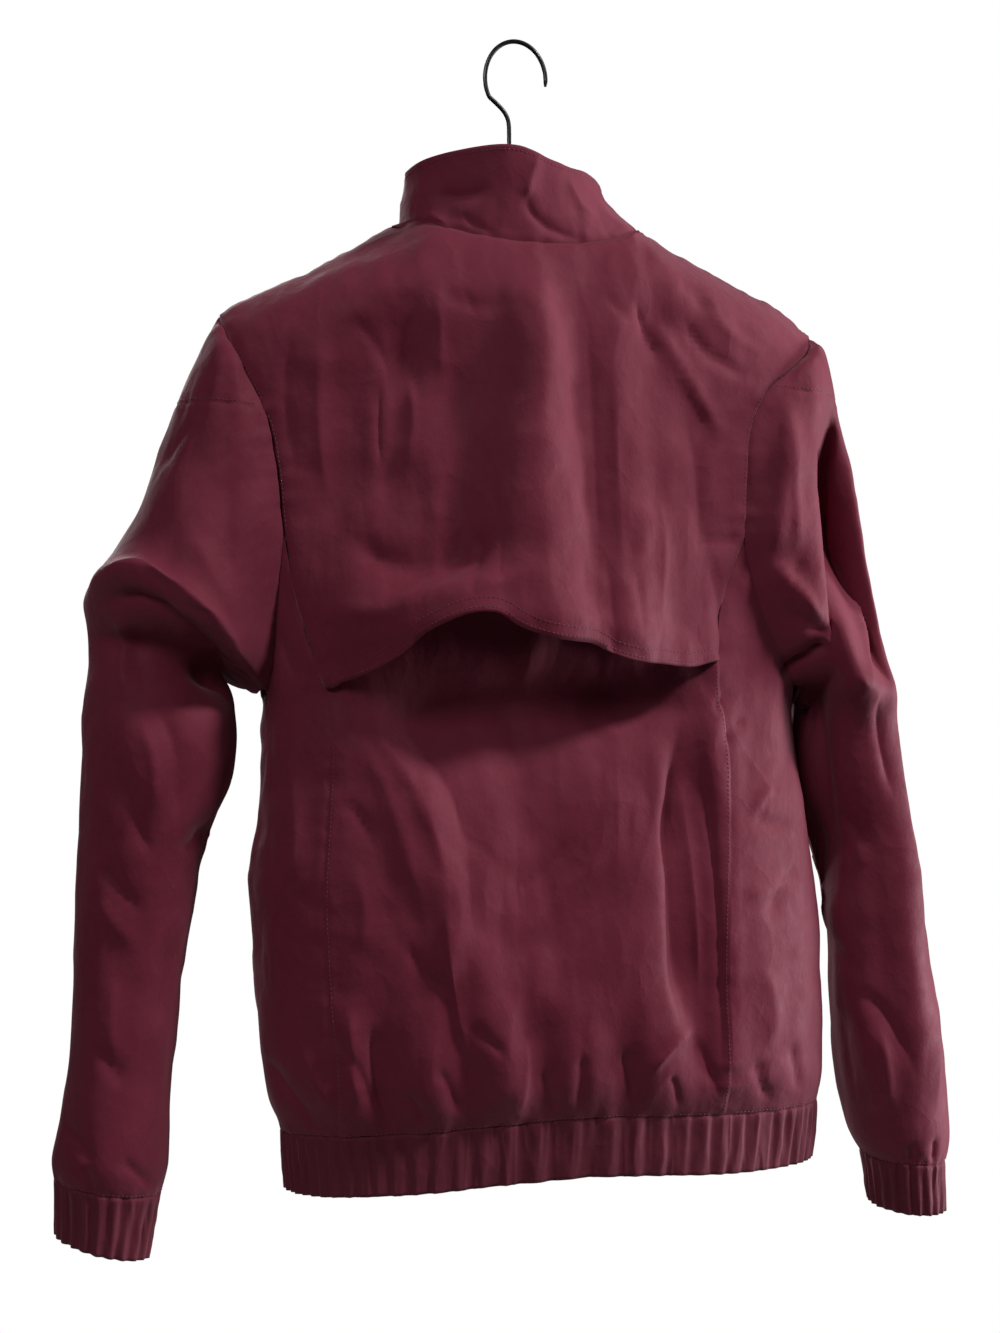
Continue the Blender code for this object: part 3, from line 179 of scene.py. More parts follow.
SLEEVE_CREASES = [
    # left: the elbow's lip, the lit strip under it, and the folds of the forearm
    Crease(282, -377, 233, -366, 170, -440, 7, 4.3, 0.2),
    Crease(276, -386, 236, -382, 180, -452, 9, -6.8),
    Crease(214, -262, 226, -276, 237, -296, 6, -2.4),
    Crease(262, -385, 262, -410, 256, -442, 9, 4.1, 0.2),
    Crease(240, -440, 226, -478, 229, -522, 8, -4.3, 0.2),
    Crease(250, -450, 240, -482, 240, -515, 8, 3.5),
    Crease(265, -478, 252, -512, 241, -540, 7, -3.5),
    Crease(274, -540, 262, -556, 244, -576, 7, -3.8),
    Crease(276, -560, 264, -580, 246, -596, 8, 3),
    Crease(222, -537, 214, -530, 205, -517, 7, -3.5),
    Crease(230, -590, 232, -620, 240, -650, 9, -3.5),
    Crease(276, -653, 268, -668, 254, -680, 6, -3.2),
    Crease(262, -610, 266, -640, 262, -665, 9, 2.7),
    Crease(299, -705, 288, -716, 275, -732, 6, -3.2),
    Crease(262, -726, 252, -736, 242, -750, 5, -3),
    Crease(284, -730, 280, -740, 276, -752, 5, -2.7),
    Crease(222, -330, 206, -360, 190, -392, 12, 2.7),
    Crease(190, -290, 196, -330, 190, -372, 12, -2.4),
    # right: the bright ridge down the back and the dark folds inside it
    Crease(-250, -400, -264, -500, -284, -640, 9, 4.1, -0.3),
    Crease(-284, -640, -289, -680, -291, -730, 8, 3.2, -0.3),
    Crease(-217, -520, -228, -526, -240, -540, 6, -3.2),
    Crease(-221, -552, -232, -550, -243, -540, 6, 2.7),
    Crease(-221, -604, -232, -612, -243, -636, 7, -3.5),
    Crease(-236, -640, -256, -656, -275, -704, 7, -3.8),
    Crease(-232, -650, -236, -680, -242, -718, 7, -3.2),
    Crease(-250, -660, -256, -690, -258, -730, 8, 3),
    Crease(-152, -346, -176, -366, -198, -392, 9, 6, -0.4),
    Crease(-170, -232, -164, -300, -157, -352, 20, 8, 0.7),
    Crease(-226, -530, -240, -630, -254, -745, 34, 13, 0.7),
    Crease(-172, -428, -186, -412, -200, -402, 7, -9.5),
    Crease(-170, -362, -176, -356, -184, -348, 5, -2.2),
    Crease(-168, -380, -186, -390, -204, -400, 6, -4.1),
    Crease(-170, -240, -173, -300, -176, -350, 10, 3.2, 0.2),
    Crease(-196, -240, -206, -310, -212, -390, 12, -8.1, 0.2),
    Crease(-240, -430, -246, -470, -258, -510, 8, -2.7),
    Crease(-270, -745, -274, -752, -276, -762, 5, -2.7),
    Crease(-290, -742, -291, -752, -290, -762, 5, -2.7),
]
FRONT_CREASES = [
    Crease(60, -190, 84, -260, 120, -320, 12, 3.3, 0.2),
    Crease(110, -230, 90, -290, 60, -360, 14, -3.3),
    Crease(130, -330, 104, -380, 60, -420, 10, 3.6, 0.2),
    Crease(140, -350, 118, -400, 80, -450, 9, -3.3),
    Crease(30, -400, 34, -480, 26, -560, 14, 3),
    Crease(100, -480, 80, -540, 86, -610, 12, -3.6, 0.2),
    Crease(60, -600, 58, -650, 50, -705, 8, -3.9),
    Crease(78, -630, 78, -670, 72, -710, 8, 3.3),
    Crease(22, -640, 18, -676, 14, -708, 6, -3),
    Crease(108, -650, 104, -680, 98, -712, 7, -3.6),
    Crease(140, -660, 134, -686, 128, -712, 7, -3.3),
    Crease(-66, -190, -90, -256, -128, -318, 12, 3.3, 0.2),
    Crease(-120, -226, -98, -290, -66, -350, 14, -3.3),
    Crease(-140, -330, -110, -384, -64, -424, 10, 3.6, 0.2),
    Crease(-150, -352, -122, -402, -86, -448, 9, -3.3),
    Crease(-60, -470, -76, -540, -66, -600, 14, 3),
    Crease(-110, -480, -96, -540, -110, -610, 12, -3.6, 0.2),
    Crease(-66, -620, -68, -664, -74, -706, 8, -3.9),
    Crease(-94, -630, -94, -670, -98, -708, 8, 3.3),
    Crease(-118, -645, -120, -676, -124, -706, 6, -3.3),
    Crease(-46, -650, -48, -680, -50, -708, 6, -3),
    Crease(-160, -655, -164, -680, -168, -706, 7, -3.3),
]
SLEEVE_FRONT_CREASES = [
    Crease(276, -380, 240, -392, 186, -430, 9, -5.1),
    Crease(272, -396, 240, -410, 204, -446, 8, 3.9, 0.2),
    Crease(262, -440, 244, -480, 226, -500, 8, -3.9),
    Crease(230, -300, 222, -340, 200, -370, 12, 3),
    Crease(268, -540, 252, -566, 228, -580, 8, -3.6),
    Crease(270, -600, 262, -640, 268, -680, 10, 3.3),
    Crease(286, -690, 270, -710, 246, -722, 7, -3.6),
    Crease(-200, -280, -216, -330, -214, -390, 12, -3.9),
    Crease(-252, -420, -262, -500, -276, -580, 10, 3.6, 0.2),
    Crease(-240, -460, -226, -500, -236, -530, 8, -3.6),
    Crease(-270, -560, -250, -580, -230, -584, 8, -3.3),
    Crease(-284, -640, -266, -664, -244, -672, 8, -3.6),
    Crease(-290, -690, -278, -716, -262, -730, 7, 3),
]
COLLAR_CREASES = [
    Crease(110, -100, 10, -74, -90, -108, 56, 9),
    Crease(4, -112, -4, -132, -40, -143, 5, -2.6),
    Crease(-2, -88, 4, -104, 4, -120, 6, 2.4, 0.3),
    Crease(60, -112, 44, -116, 26, -110, 7, -2.8),
    Crease(46, -126, 36, -136, 20, -142, 5, -1.6),
    Crease(66, -124, 58, -132, 50, -142, 5, 1.8),
    Crease(-20, -100, -30, -116, -46, -128, 7, 2, 0.2),
]

# rows of topstitching, so many millimetres inside this piece's edge, where it meets that one ("" is a
# free edge)
Row = namedtuple("Row", "piece beside inset")
SEAM_INSET, BAND_INSET = 2.4, 2.2
STITCHING = [Row("back_flap", "", 3.0), Row("back_flap", "", 9.0), Row("collar", "", 3.0),
             Row("back_panel", "hem_band", BAND_INSET)]
for side in ("left", "right"):
    top, sleeve, front, panel, cuff = (f"{word}_{side}" for word in (
        "sleeve_top", "sleeve", "front", "side_panel", "cuff"))
    for pair in (("back_flap", top), ("back_flap", sleeve), (front, top), (front, sleeve), (top, sleeve),
                 ("back_panel", panel), (front, panel), (front, "")):
        STITCHING.append(Row(*pair, SEAM_INSET))
    for pair in ((panel, "hem_band"), (front, "hem_band"), (sleeve, cuff)):
        STITCHING.append(Row(*pair, BAND_INSET))

# ---------------------------------------------------------------- frame and camera

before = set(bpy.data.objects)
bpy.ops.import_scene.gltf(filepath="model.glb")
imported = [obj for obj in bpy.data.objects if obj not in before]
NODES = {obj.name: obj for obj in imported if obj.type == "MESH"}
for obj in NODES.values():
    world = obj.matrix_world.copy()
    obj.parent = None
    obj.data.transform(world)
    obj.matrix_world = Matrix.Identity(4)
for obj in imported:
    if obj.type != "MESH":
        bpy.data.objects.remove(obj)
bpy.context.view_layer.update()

SENSOR = 36.0
IMAGE_HEIGHT = 1333
FOCAL_PIXELS = 1940
VIEW_TURN = math.radians(12)
VIEW_DISTANCE = 1.3
VIEW_POINT = Vector((0.0105, 0.0, -0.418))


def make_camera():
    """The photograph's viewpoint: behind the garment, a little to its left, level."""
    data = bpy.data.cameras.new("camera")
    data.sensor_fit = "VERTICAL"
    data.sensor_height = SENSOR
    data.lens = FOCAL_PIXELS / IMAGE_HEIGHT * SENSOR
    made = bpy.data.objects.new("camera", data)
    SCENE.collection.objects.link(made)
    away = Vector((math.sin(VIEW_TURN), math.cos(VIEW_TURN), 0))
    made.location = VIEW_POINT + away * VIEW_DISTANCE
    made.rotation_euler = (-away).to_track_quat("-Z", "Y").to_euler()
    SCENE.camera = made


# ---------------------------------------------------------------- noise and profiles

def soft_noise(points, seed):
    """Smooth value noise from -1 to 1 over unit cells, the same in every run."""
    cell = np.floor(points).astype(np.int64)
    part = points - cell
    part = part * part * (3 - 2 * part)
    total = np.zeros(len(points))
    for corner in itertools.product((0, 1), repeat=3):
        at = cell + corner
        mixed = at[:, 0] * 73856093 ^ at[:, 1] * 19349663 ^ at[:, 2] * 83492791 ^ seed * 2654435
        mixed = (mixed ^ mixed >> 13) * 1274126177 & 0x7FFFFFFF
        mixed = (mixed ^ mixed >> 15) * 668265263 & 0x7FFFFFFF
        share = np.prod(np.where(corner, part, 1 - part), axis=1)
        total += share * (mixed / 0x3FFFFFFF - 1)
    return total


def smooth(low, high, value):
    t = np.clip((value - low) / (high - low), 0, 1)
    return t * t * (3 - 2 * t)


# a crease's cross-section, in shares of its width
CREST_SOFTNESS = 0.10            # how round its crest is
FLANK = 0.62                     # how far out its flanks reach
CUT_OFF = 1.7                    # where they fade to nothing
SEEN_FROM = 3.2                  # further out than this it isn't worked out
LEANING = 0.6
CREASE_STEPS = 13
CREASE_ENDS = 0.3                # share of its length over which each end fades


def crease_rise(row, x, z):
    """How far one crease lifts the cloth at these places, in metres."""
    steps = np.linspace(0, 1, CREASE_STEPS)[:, None]
    a, b, c = (np.array(row[k:k + 2]) / 1000 for k in (0, 2, 4))
    line = a * (1 - steps) * (1 - 2 * steps) + b * 4 * steps * (1 - steps) + c * steps * (2 * steps - 1)
    wide = row.wide * MM
    reach = SEEN_FROM * wide
    low, high = line.min(axis=0) - reach, line.max(axis=0) + reach
    near = np.nonzero((x > low[0]) & (x < high[0]) & (z > low[1]) & (z < high[1]))[0]
    lift = np.zeros(len(x))
    if not len(near):
        return lift
    place = np.stack([x[near], z[near]], axis=1)
    best = np.full(len(near), np.inf)
    side, along = np.zeros((2, len(near)))
    for k in range(len(line) - 1):
        run = line[k + 1] - line[k]
        t = np.clip((place - line[k]) @ run / (run @ run), 0, 1)
        off = place - line[k] - t[:, None] * run
        gap = np.hypot(off[:, 0], off[:, 1])
        better = gap < best
        best[better] = gap[better]
        side[better] = np.sign(run[0] * off[better, 1] - run[1] * off[better, 0])
        along[better] = (k + t[better]) / (len(line) - 1)
    width = wide * (1 - row.lean * side * LEANING)
    soft = CREST_SOFTNESS * width
    shape = np.exp(-(np.sqrt(best ** 2 + soft ** 2) - soft) / (FLANK * width))
    shape *= np.exp(-(best / (CUT_OFF * wide)) ** 2)
    ends = smooth(0, CREASE_ENDS, along) * smooth(0, CREASE_ENDS, 1 - along)
    lift[near] = row.rise * MM * shape * ends
    return lift


def creases(rows, x, z):
    return sum((crease_rise(row, x, z) for row in rows), np.zeros(len(x)))


# ---------------------------------------------------------------- skins

WELD = 1e-6
SMALL_HOLE = 8                   # a fold pressed flat leaves a hole of up to so many edges
ROUNDING = 3                     # levels of Catmull-Clark
RUNG = (1.3 * MM, 1.7 * MM)      # lengths of the edges through the cloth
BAND_ROW = 8 * MM                # a band's rows lie further apart than this, its rims are lower
FRONT_Y = -0.03


def is_rim(face, gathered):
    """Whether a face closes a cloth wall at its edge, from the outer side to the inner."""
    narrow = any(RUNG[0] < edge.calc_length() < RUNG[1] for edge in face.edges)
    if not gathered:
        return narrow
    heights = [vert.co.z for vert in face.verts]
    at_front = abs(face.normal.x) > 0.8 and face.calc_center_median().y < FRONT_Y
    return max(heights) - min(heights) < BAND_ROW or narrow and at_front


def region_of(start, left):
    """The faces that this one is joined to through faces that are left."""
    found, queue = [start], [start]
    left.discard(start)
    while queue:
        for edge in queue.pop().edges:
            for other in edge.link_faces:
                if other in left:
                    left.discard(other)
                    found.append(other)
                    queue.append(other)
    return found


def outer_skin(node, row):
    """The outer face of a cloth solid, as a fresh mesh of quads."""
    bm = bmesh.new()
    bm.from_mesh(node.data)
    bmesh.ops.remove_doubles(bm, verts=bm.verts, dist=WELD)
    bmesh.ops.recalc_face_normals(bm, faces=bm.faces)
    left = {face for face in bm.faces if not is_rim(face, row.gather)}
    regions = [region_of(face, left) for face in bm.faces if face in left]
    regions.sort(key=lambda faces: -sum(face.calc_area() for face in faces))
    middle = sum((v.co for v in bm.verts), Vector()) / len(bm.verts)

    def outwardness(faces):
        total = 0
        for face in faces:
            place = face.calc_center_median()
            centre = middle if row.core == "own" else Vector((0, 0, place.z))
            total += face.calc_area() * face.normal.dot(place - centre)
        return total

    keep = set(max(regions[:2], key=outwardness))
    bmesh.ops.delete(bm, geom=[face for face in bm.faces if face not in keep], context="FACES")
    bmesh.ops.holes_fill(bm, edges=[edge for edge in bm.edges if edge.is_boundary], sides=SMALL_HOLE)
    bmesh.ops.join_triangles(bm, faces=bm.faces, angle_face_threshold=math.pi,
                             angle_shape_threshold=math.pi)
    mesh = bpy.data.meshes.new(node.name + "_skin")
    bm.to_mesh(mesh)
    bm.free()
    return mesh


def rounded(mesh):
    """Catmull-Clark, with the corners first moved out so that the round skin still passes through them."""
    holder = bpy.data.objects.new("holder", mesh)
    SCENE.collection.objects.link(holder)
    count = len(mesh.vertices)
    wanted = coordinates(mesh)
    modifier = holder.modifiers.new("round", "SUBSURF")
    modifier.boundary_smooth = "PRESERVE_CORNERS"
    for last in (False, False, True):
        modifier.levels = modifier.render_levels = ROUNDING if last else ROUNDING - 1
        bpy.context.view_layer.update()
        seen = holder.evaluated_get(bpy.context.evaluated_depsgraph_get())
        made = bpy.data.meshes.new_from_object(seen)
        if not last:
            missing = wanted - coordinates(made)[:count]
            bpy.data.meshes.remove(made)
            set_coordinates(mesh, coordinates(mesh) + 0.8 * missing)
    bpy.data.objects.remove(holder)
    bpy.data.meshes.remove(mesh)
    return made


def coordinates(mesh):
    flat = np.empty(len(mesh.vertices) * 3)
    mesh.vertices.foreach_get("co", flat)
    return flat.reshape(-1, 3)


def set_coordinates(mesh, places):
    mesh.vertices.foreach_set("co", np.asarray(places, dtype=np.float32).ravel())
    mesh.update()


def vertex_normals(mesh):
    flat = np.empty(len(mesh.vertices) * 3, dtype=np.float32)
    mesh.vertex_normals.foreach_get("vector", flat)
    return flat.reshape(-1, 3).astype(float)


def unit(vectors):
    return vectors / np.maximum(np.linalg.norm(vectors, axis=1), 1e-12)[:, None]


# rim: the vertices on the edge, and for each out: the way off the piece there, beside: what it is sewn
# to. near: each vertex's closest place in rim, gap: how far off that is
Skin = namedtuple("Skin", "row mesh rim out beside near gap")
SEWN_WITHIN = 5.5 * MM           # edges this close are sewn together
COLLAR_WITHIN = 16 * MM          # the collar starts further from its seam, except beside the zip
ZIP_SIDE = 10 * MM
CLOSING_REACH = 5 * MM           # how far from a seam the cloth follows as it closes
SHARED_REACH = 12 * MM           # how far from a seam two pieces share their normals
SEAM_OVERLAP = 0.15 * MM
LIES_OVER = {("back_flap", "back_panel"), ("back_panel", "back_flap")}


def rim_of(mesh):
    """The boundary vertices, and for each the direction in the cloth away from the piece."""
    bm = bmesh.new()
    bm.from_mesh(mesh)
    indices, outs = [], []
    for vert in bm.verts:
        edges = [edge for edge in vert.link_edges if edge.is_boundary]
        if not edges:
            continue
        inner = sum((face.calc_center_median() for face in vert.link_faces), Vector())
        away = vert.co - inner / len(vert.link_faces)
        if len(edges) == 2:
            tangent = (edges[0].other_vert(vert).co - edges[1].other_vert(vert).co).normalized()
            away -= tangent * away.dot(tangent)
        indices.append(vert.index)
        outs.append(tuple(away.normalized()))
    bm.free()
    return np.array(indices), np.array(outs)


def tree_of(places):
    tree = KDTree(len(places))
    for k, place in enumerate(places):
        tree.insert(place, k)
    tree.balance()
    return tree


def nearest(tree, places):
    found = [tree.find(place)[1:] for place in places]
    return np.array([f[0] for f in found]), np.array([f[1] for f in found])


def all_rims(skins):
    """The places on every piece's edge, and the piece that each is on."""
    places = np.concatenate([coordinates(skin.mesh)[skin.rim] for skin in skins.values()])
    owners = np.concatenate([[name] * len(skin.rim) for name, skin in skins.items()])
    return places, owners


def make_skins():
    """Each cloth piece's skin, with its edge and the piece that each edge place is sewn to."""
    skins = {}
    for row in PIECES:
        mesh = rounded(outer_skin(NODES[row.node], row))
        rim, out = rim_of(mesh)
        near, gap = nearest(tree_of(coordinates(mesh)[rim]), coordinates(mesh))
        skins[row.node] = Skin(row, mesh, rim, out, np.full(len(rim), "", dtype=object), near, gap)
    rims, owners = all_rims(skins)
    tree = tree_of(rims)
    for name, skin in skins.items():
        for k, place in enumerate(coordinates(skin.mesh)[skin.rim]):
            for _, index, gap in sorted(tree.find_range(place, COLLAR_WITHIN), key=lambda f: f[2]):
                if sewn_together(name, owners[index], gap, place):
                    skin.beside[k] = owners[index]
                    break
    return skins


def sewn_together(name, other, gap, place):
    """Whether an edge of one piece this far from another's is sewn to it."""
    if name == other or (name, other) in LIES_OVER:
        return False
    wide = "collar" in (name, other) and abs(place[0]) > ZIP_SIDE
    return gap < (COLLAR_WITHIN if wide else SEWN_WITHIN)


def closest_on_rims(tree, rims, owners, following, name, place):
    """The closest place on another piece's edge."""
    best, found = COLLAR_WITHIN, None
    for _, index, far in tree.find_range(place, COLLAR_WITHIN):
        if not sewn_together(name, owners[index], far, place):
            continue
        for other in following[index]:
            run = rims[other] - rims[index]
            share = min(max(np.dot(place - rims[index], run) / max(np.dot(run, run), 1e-15), 0), 1)
            spot = rims[index] + run * share
            gap = np.linalg.norm(place - spot)
            if gap < best:
                best, found = gap, spot
    return found


def close_seams(skins):
    """Draws the edges of pieces that are sewn together to the line half-way between them."""
    rims, owners = all_rims(skins)
    following, base = [[] for _ in rims], 0
    for skin in skins.values():
        place_of = {int(v): base + k for k, v in enumerate(skin.rim)}
        pairs = {}
        for polygon in skin.mesh.polygons:
            for key in polygon.edge_keys:
                pairs[key] = pairs.get(key, 0) + 1
        for (a, b), count in pairs.items():
            if count == 1:
                following[place_of[a]].append(place_of[b])
                following[place_of[b]].append(place_of[a])
        base += len(skin.rim)
    tree = tree_of(rims)
    shifts, base = {}, 0
    for name, skin in skins.items():
        shift = np.zeros((len(skin.rim), 3))
        for k in range(len(skin.rim)):
            if skin.beside[k] == "":
                continue
            place = rims[base + k]
            spot = closest_on_rims(tree, rims, owners, following, name, place)
            if spot is not None:
                shift[k] = (spot - place) * 0.5
        shifts[name] = shift
        base += len(skin.rim)
    for name, skin in skins.items():
        share = np.exp(-(skin.gap / CLOSING_REACH) ** 2)[:, None]
        set_coordinates(skin.mesh, coordinates(skin.mesh) + shifts[name][skin.near] * share)


def blended_normals(skins):
    """Each skin's normals, turned near its seams to the mean of those on both sides."""
    own = {name: vertex_normals(skin.mesh) for name, skin in skins.items()}
    rims, _ = all_rims(skins)
    values = np.concatenate([own[name][s.rim] for name, s in skins.items()])
    tree = tree_of(rims)
    result = {}
    for name, skin in skins.items():
        shared = np.empty((len(skin.rim), 3))
        for k, place in enumerate(coordinates(skin.mesh)[skin.rim]):
            shared[k] = values[[f[1] for f in tree.find_range(place, SEWN_WITHIN)]].mean(axis=0)
        share = np.exp(-skin.gap / SHARED_REACH)[:, None]
        result[name] = unit(own[name] * (1 - share) + unit(shared)[skin.near] * share)
    return result


# ---------------------------------------------------------------- how each skin is shaped

BACK_FACE = (-0.10, 0.35)        # a normal's y from here to here turns a crease of the back fully on
UNDER_CAPE_Z = (-0.415, -0.390)
UNDER_CAPE_DROP = 4 * MM


def face_shares(normals):
    back = smooth(*BACK_FACE, normals[:, 1])
    front = smooth(*BACK_FACE, -normals[:, 1])
    return back, front


def large_creases(name, places, normals):
    """The listed creases, on whichever face of the garment a point is."""
    x, z = places[:, 0], places[:, 2]
    back, front = face_shares(normals)
    lift = np.zeros(len(x))
    if name == "back_flap":
        lift += back * creases(CAPE_FORMS + CAPE_CREASES, x, z)
    elif name == "collar":
        lift += back * creases(COLLAR_CREASES, x, z)
    elif "hem" not in name and "cuff" not in name:
        lift += back * creases(BACK_FORMS + SLEEVE_FORMS + BACK_CREASES + SLEEVE_CREASES, x, z)
        if name == "back_panel":
            under = smooth(*UNDER_CAPE_Z, z)
            cape = creases(CAPE_FORMS, x, z) * back
            lift += (np.minimum(cape, 0) - np.maximum(lift, 0) - UNDER_CAPE_DROP) * under
        lift += front * creases(FRONT_CREASES + SLEEVE_FRONT_CREASES, x, z)
    return lift


Crumple = namedtuple("Crumple", "cell rise seed")              # millimetres
CRUMPLES = [Crumple(62, 3.6, 31), Crumple(31, 2.8, 41), Crumple(17, 1.3, 51)]
CRUMPLE_TALL = 1.5               # a crumple's height over its width
WILD_CELL, WILD_SEED = 0.085, 2  # patches that crumple more than others
CALMER_BACK = 0.35
GROOVE_DEPTH, GROOVE_WIDTH = 0.7 * MM, 1.5 * MM
PUCKER_RISE, PUCKER_REACH = 0.8 * MM, 12 * MM
PUCKER_FINE, PUCKER_BROAD = 6.5 * MM, 14 * MM


def ridged(places, seed):
    return 1 - 2 * np.abs(soft_noise(places, seed))


def fine_shape(skin, name, places, normals):
    """Crumpling of the thin nylon, puckers along the seams, and the seams' grooves."""
    wild = 0.45 + 0.55 * smooth(-0.3, 0.5, soft_noise(places / WILD_CELL, WILD_SEED))
    wild *= 1 - CALMER_BACK * smooth(*BACK_FACE, normals[:, 1])
    lift = np.zeros(len(places))
    for row in CRUMPLES:
        drawn = places / (1, 1, CRUMPLE_TALL) / (row.cell * MM)
        ridges = np.abs(soft_noise(drawn, row.seed)) - np.abs(soft_noise(drawn + 0.37, row.seed + 1))
        lift += row.rise * MM * ridges * wild
    at = places[skin.rim][skin.near]
    joined = (skin.beside != "")[skin.near]
    pucker = soft_noise(at / PUCKER_FINE, 11) + 0.8 * ridged(at / PUCKER_BROAD, 12)
    lift += np.where(joined, PUCKER_RISE * pucker * np.exp(-skin.gap / PUCKER_REACH), 0)
    lift -= np.where(joined, GROOVE_DEPTH * np.exp(-(skin.gap / GROOVE_WIDTH) ** 2), 0)
    return lift + gathers(name, places) if skin.row.gather else lift


HEM_PITCH, CUFF_PITCH = 5.2 * MM, 4.0 * MM
FINE_TALL, BROAD_TALL = 45 * MM, 60 * MM
BROADER = 2.3
FINE_GATHER, BROAD_GATHER = 0.55 * MM, 0.5 * MM


def gathers(name, places):
    """Upright waves of uneven size round an elastic band."""
    pitch = HEM_PITCH if name == "hem_band" else CUFF_PITCH
    fine = places / (pitch, pitch, FINE_TALL)
    broad = places / (pitch * BROADER, pitch * BROADER, BROAD_TALL)
    return FINE_GATHER * ridged(fine, 21) + BROAD_GATHER * soft_noise(broad, 22)


# where the outline needs it: points of a piece near (x, z) move by (move_x, move_z), in millimetres
Nudge = namedtuple("Nudge", "piece x z reach_x reach_z move_x move_z")
TORSO = ("back_panel", "side_panel_left", "side_panel_right", "front_left", "front_right")
NUDGES = [
    Nudge("sleeve_right", -0.208, -0.500, 28, 64, 19, 0),
    Nudge("torso", -0.194, -0.455, 26, 46, 9, 0),
    Nudge("torso", 0.184, -0.480, 24, 90, -8, 0),
    Nudge("collar", -0.072, -0.106, 26, 22, 9, 0),
    Nudge("collar", 0.000, -0.070, 60, 40, 0, -4),
]


def nudge(name, places):
    for row in NUDGES:
        if row.piece == name or row.piece == "torso" and name in TORSO:
            far = ((places[:, 0] - row.x) / (row.reach_x * MM)) ** 2
            far += ((places[:, 2] - row.z) / (row.reach_z * MM)) ** 2
            share = np.exp(-far)
            places[:, 0] += row.move_x * MM * share
            places[:, 2] += row.move_z * MM * share
    return places


def shape_skins(skins):
    """Nudges, closes, creases and crumples every skin, in that order."""
    for name, skin in skins.items():
        set_coordinates(skin.mesh, nudge(name, coordinates(skin.mesh)))
    close_seams(skins)
    shared = blended_normals(skins)
    for name, skin in skins.items():
        places = coordinates(skin.mesh)
        lift = large_creases(name, places, shared[name])
        set_coordinates(skin.mesh, places + shared[name] * lift[:, None])
    shared = blended_normals(skins)
    for name, skin in skins.items():
        places = coordinates(skin.mesh)
        places += shared[name] * fine_shape(skin, name, places, shared[name])[:, None]
        sewn = skin.beside != ""
        places[skin.rim[sewn]] += skin.out[sewn] * SEAM_OVERLAP
        set_coordinates(skin.mesh, places)


# ---------------------------------------------------------------- finishes

def add(tree, kind, links=None, values=None, **settings):
    node = tree.nodes.new(kind)
    for key, value in settings.items():
        setattr(node, key, value)
    for key, value in (values or {}).items():
        node.inputs[key].default_value = value
    for key, source in (links or {}).items():
        tree.links.new(source, node.inputs[key])
    return node


def blank(name):
    """A fresh material, its node tree, and the place on the object in metres."""
    made = bpy.data.materials.new(name)
    made.use_nodes = True
    made.node_tree.nodes.clear()
    return made, made.node_tree, add(made.node_tree, "ShaderNodeTexCoord").outputs["Object"]


def finished(made, base, normal=None, gloss=None, **values):
    """Ends a material with its shader; values are the shader's own, with _ for a space."""
    links = {"Base Color": base, "Normal": normal, "Roughness": gloss}
    links = {key: source for key, source in links.items() if source is not None}
    shader = add(made.node_tree, "ShaderNodeBsdfPrincipled", links,
                 {key.replace("_", " "): value for key, value in values.items()})
    add(made.node_tree, "ShaderNodeOutputMaterial", {"Surface": shader.outputs[0]})
    return made


def noise_of(tree, place, scale, detail=3.0, rough=0.5):
    values = {"Scale": scale, "Detail": detail, "Roughness": rough}
    return add(tree, "ShaderNodeTexNoise", {"Vector": place}, values).outputs["Fac"]


def waves(tree, place, scale, direction):
    return add(tree, "ShaderNodeTexWave", {"Vector": place}, {"Scale": scale},
               bands_direction=direction).outputs["Fac"]


def combined(tree, operation, first, second):
    return add(tree, "ShaderNodeMath", {0: first, 1: second}, operation=operation).outputs[0]


def ranged(tree, value, low, high, to_low, to_high):
    values = {"From Min": low, "From Max": high, "To Min": to_low, "To Max": to_high}
    return add(tree, "ShaderNodeMapRange", {"Value": value}, values).outputs["Result"]


def mixed(tree, share, first, second):
    node = add(tree, "ShaderNodeMix", {"Factor": share}, data_type="RGBA")
    for key, value in (("A", first), ("B", second)):
        socket = [s for s in node.inputs if s.name == key and s.type == "RGBA"][0]
        if isinstance(value, tuple):
            socket.default_value = value
        else:
            tree.links.new(value, socket)
    return [s for s in node.outputs if s.type == "RGBA"][0]


def bumped(tree, height, distance, strength, normal=None):
    links = {"Height": height}
    if normal is not None:
        links["Normal"] = normal
    return add(tree, "ShaderNodeBump", links, {"Distance": distance, "Strength": strength}).outputs[0]


def linear(red, green, blue):
    """A colour given as it looks on screen, 0 to 255."""
    def one(value):
        value /= 255
        return value / 12.92 if value < 0.04045 else ((value + 0.055) / 1.055) ** 2.4
    return (one(red), one(green), one(blue), 1.0)


WAVE_PERIOD = 0.314              # a wave texture's period at scale 1, in metres
WEAVE_STEP = 0.0006
SHEEN_TINT = (0.85, 0.55, 0.62, 1.0)


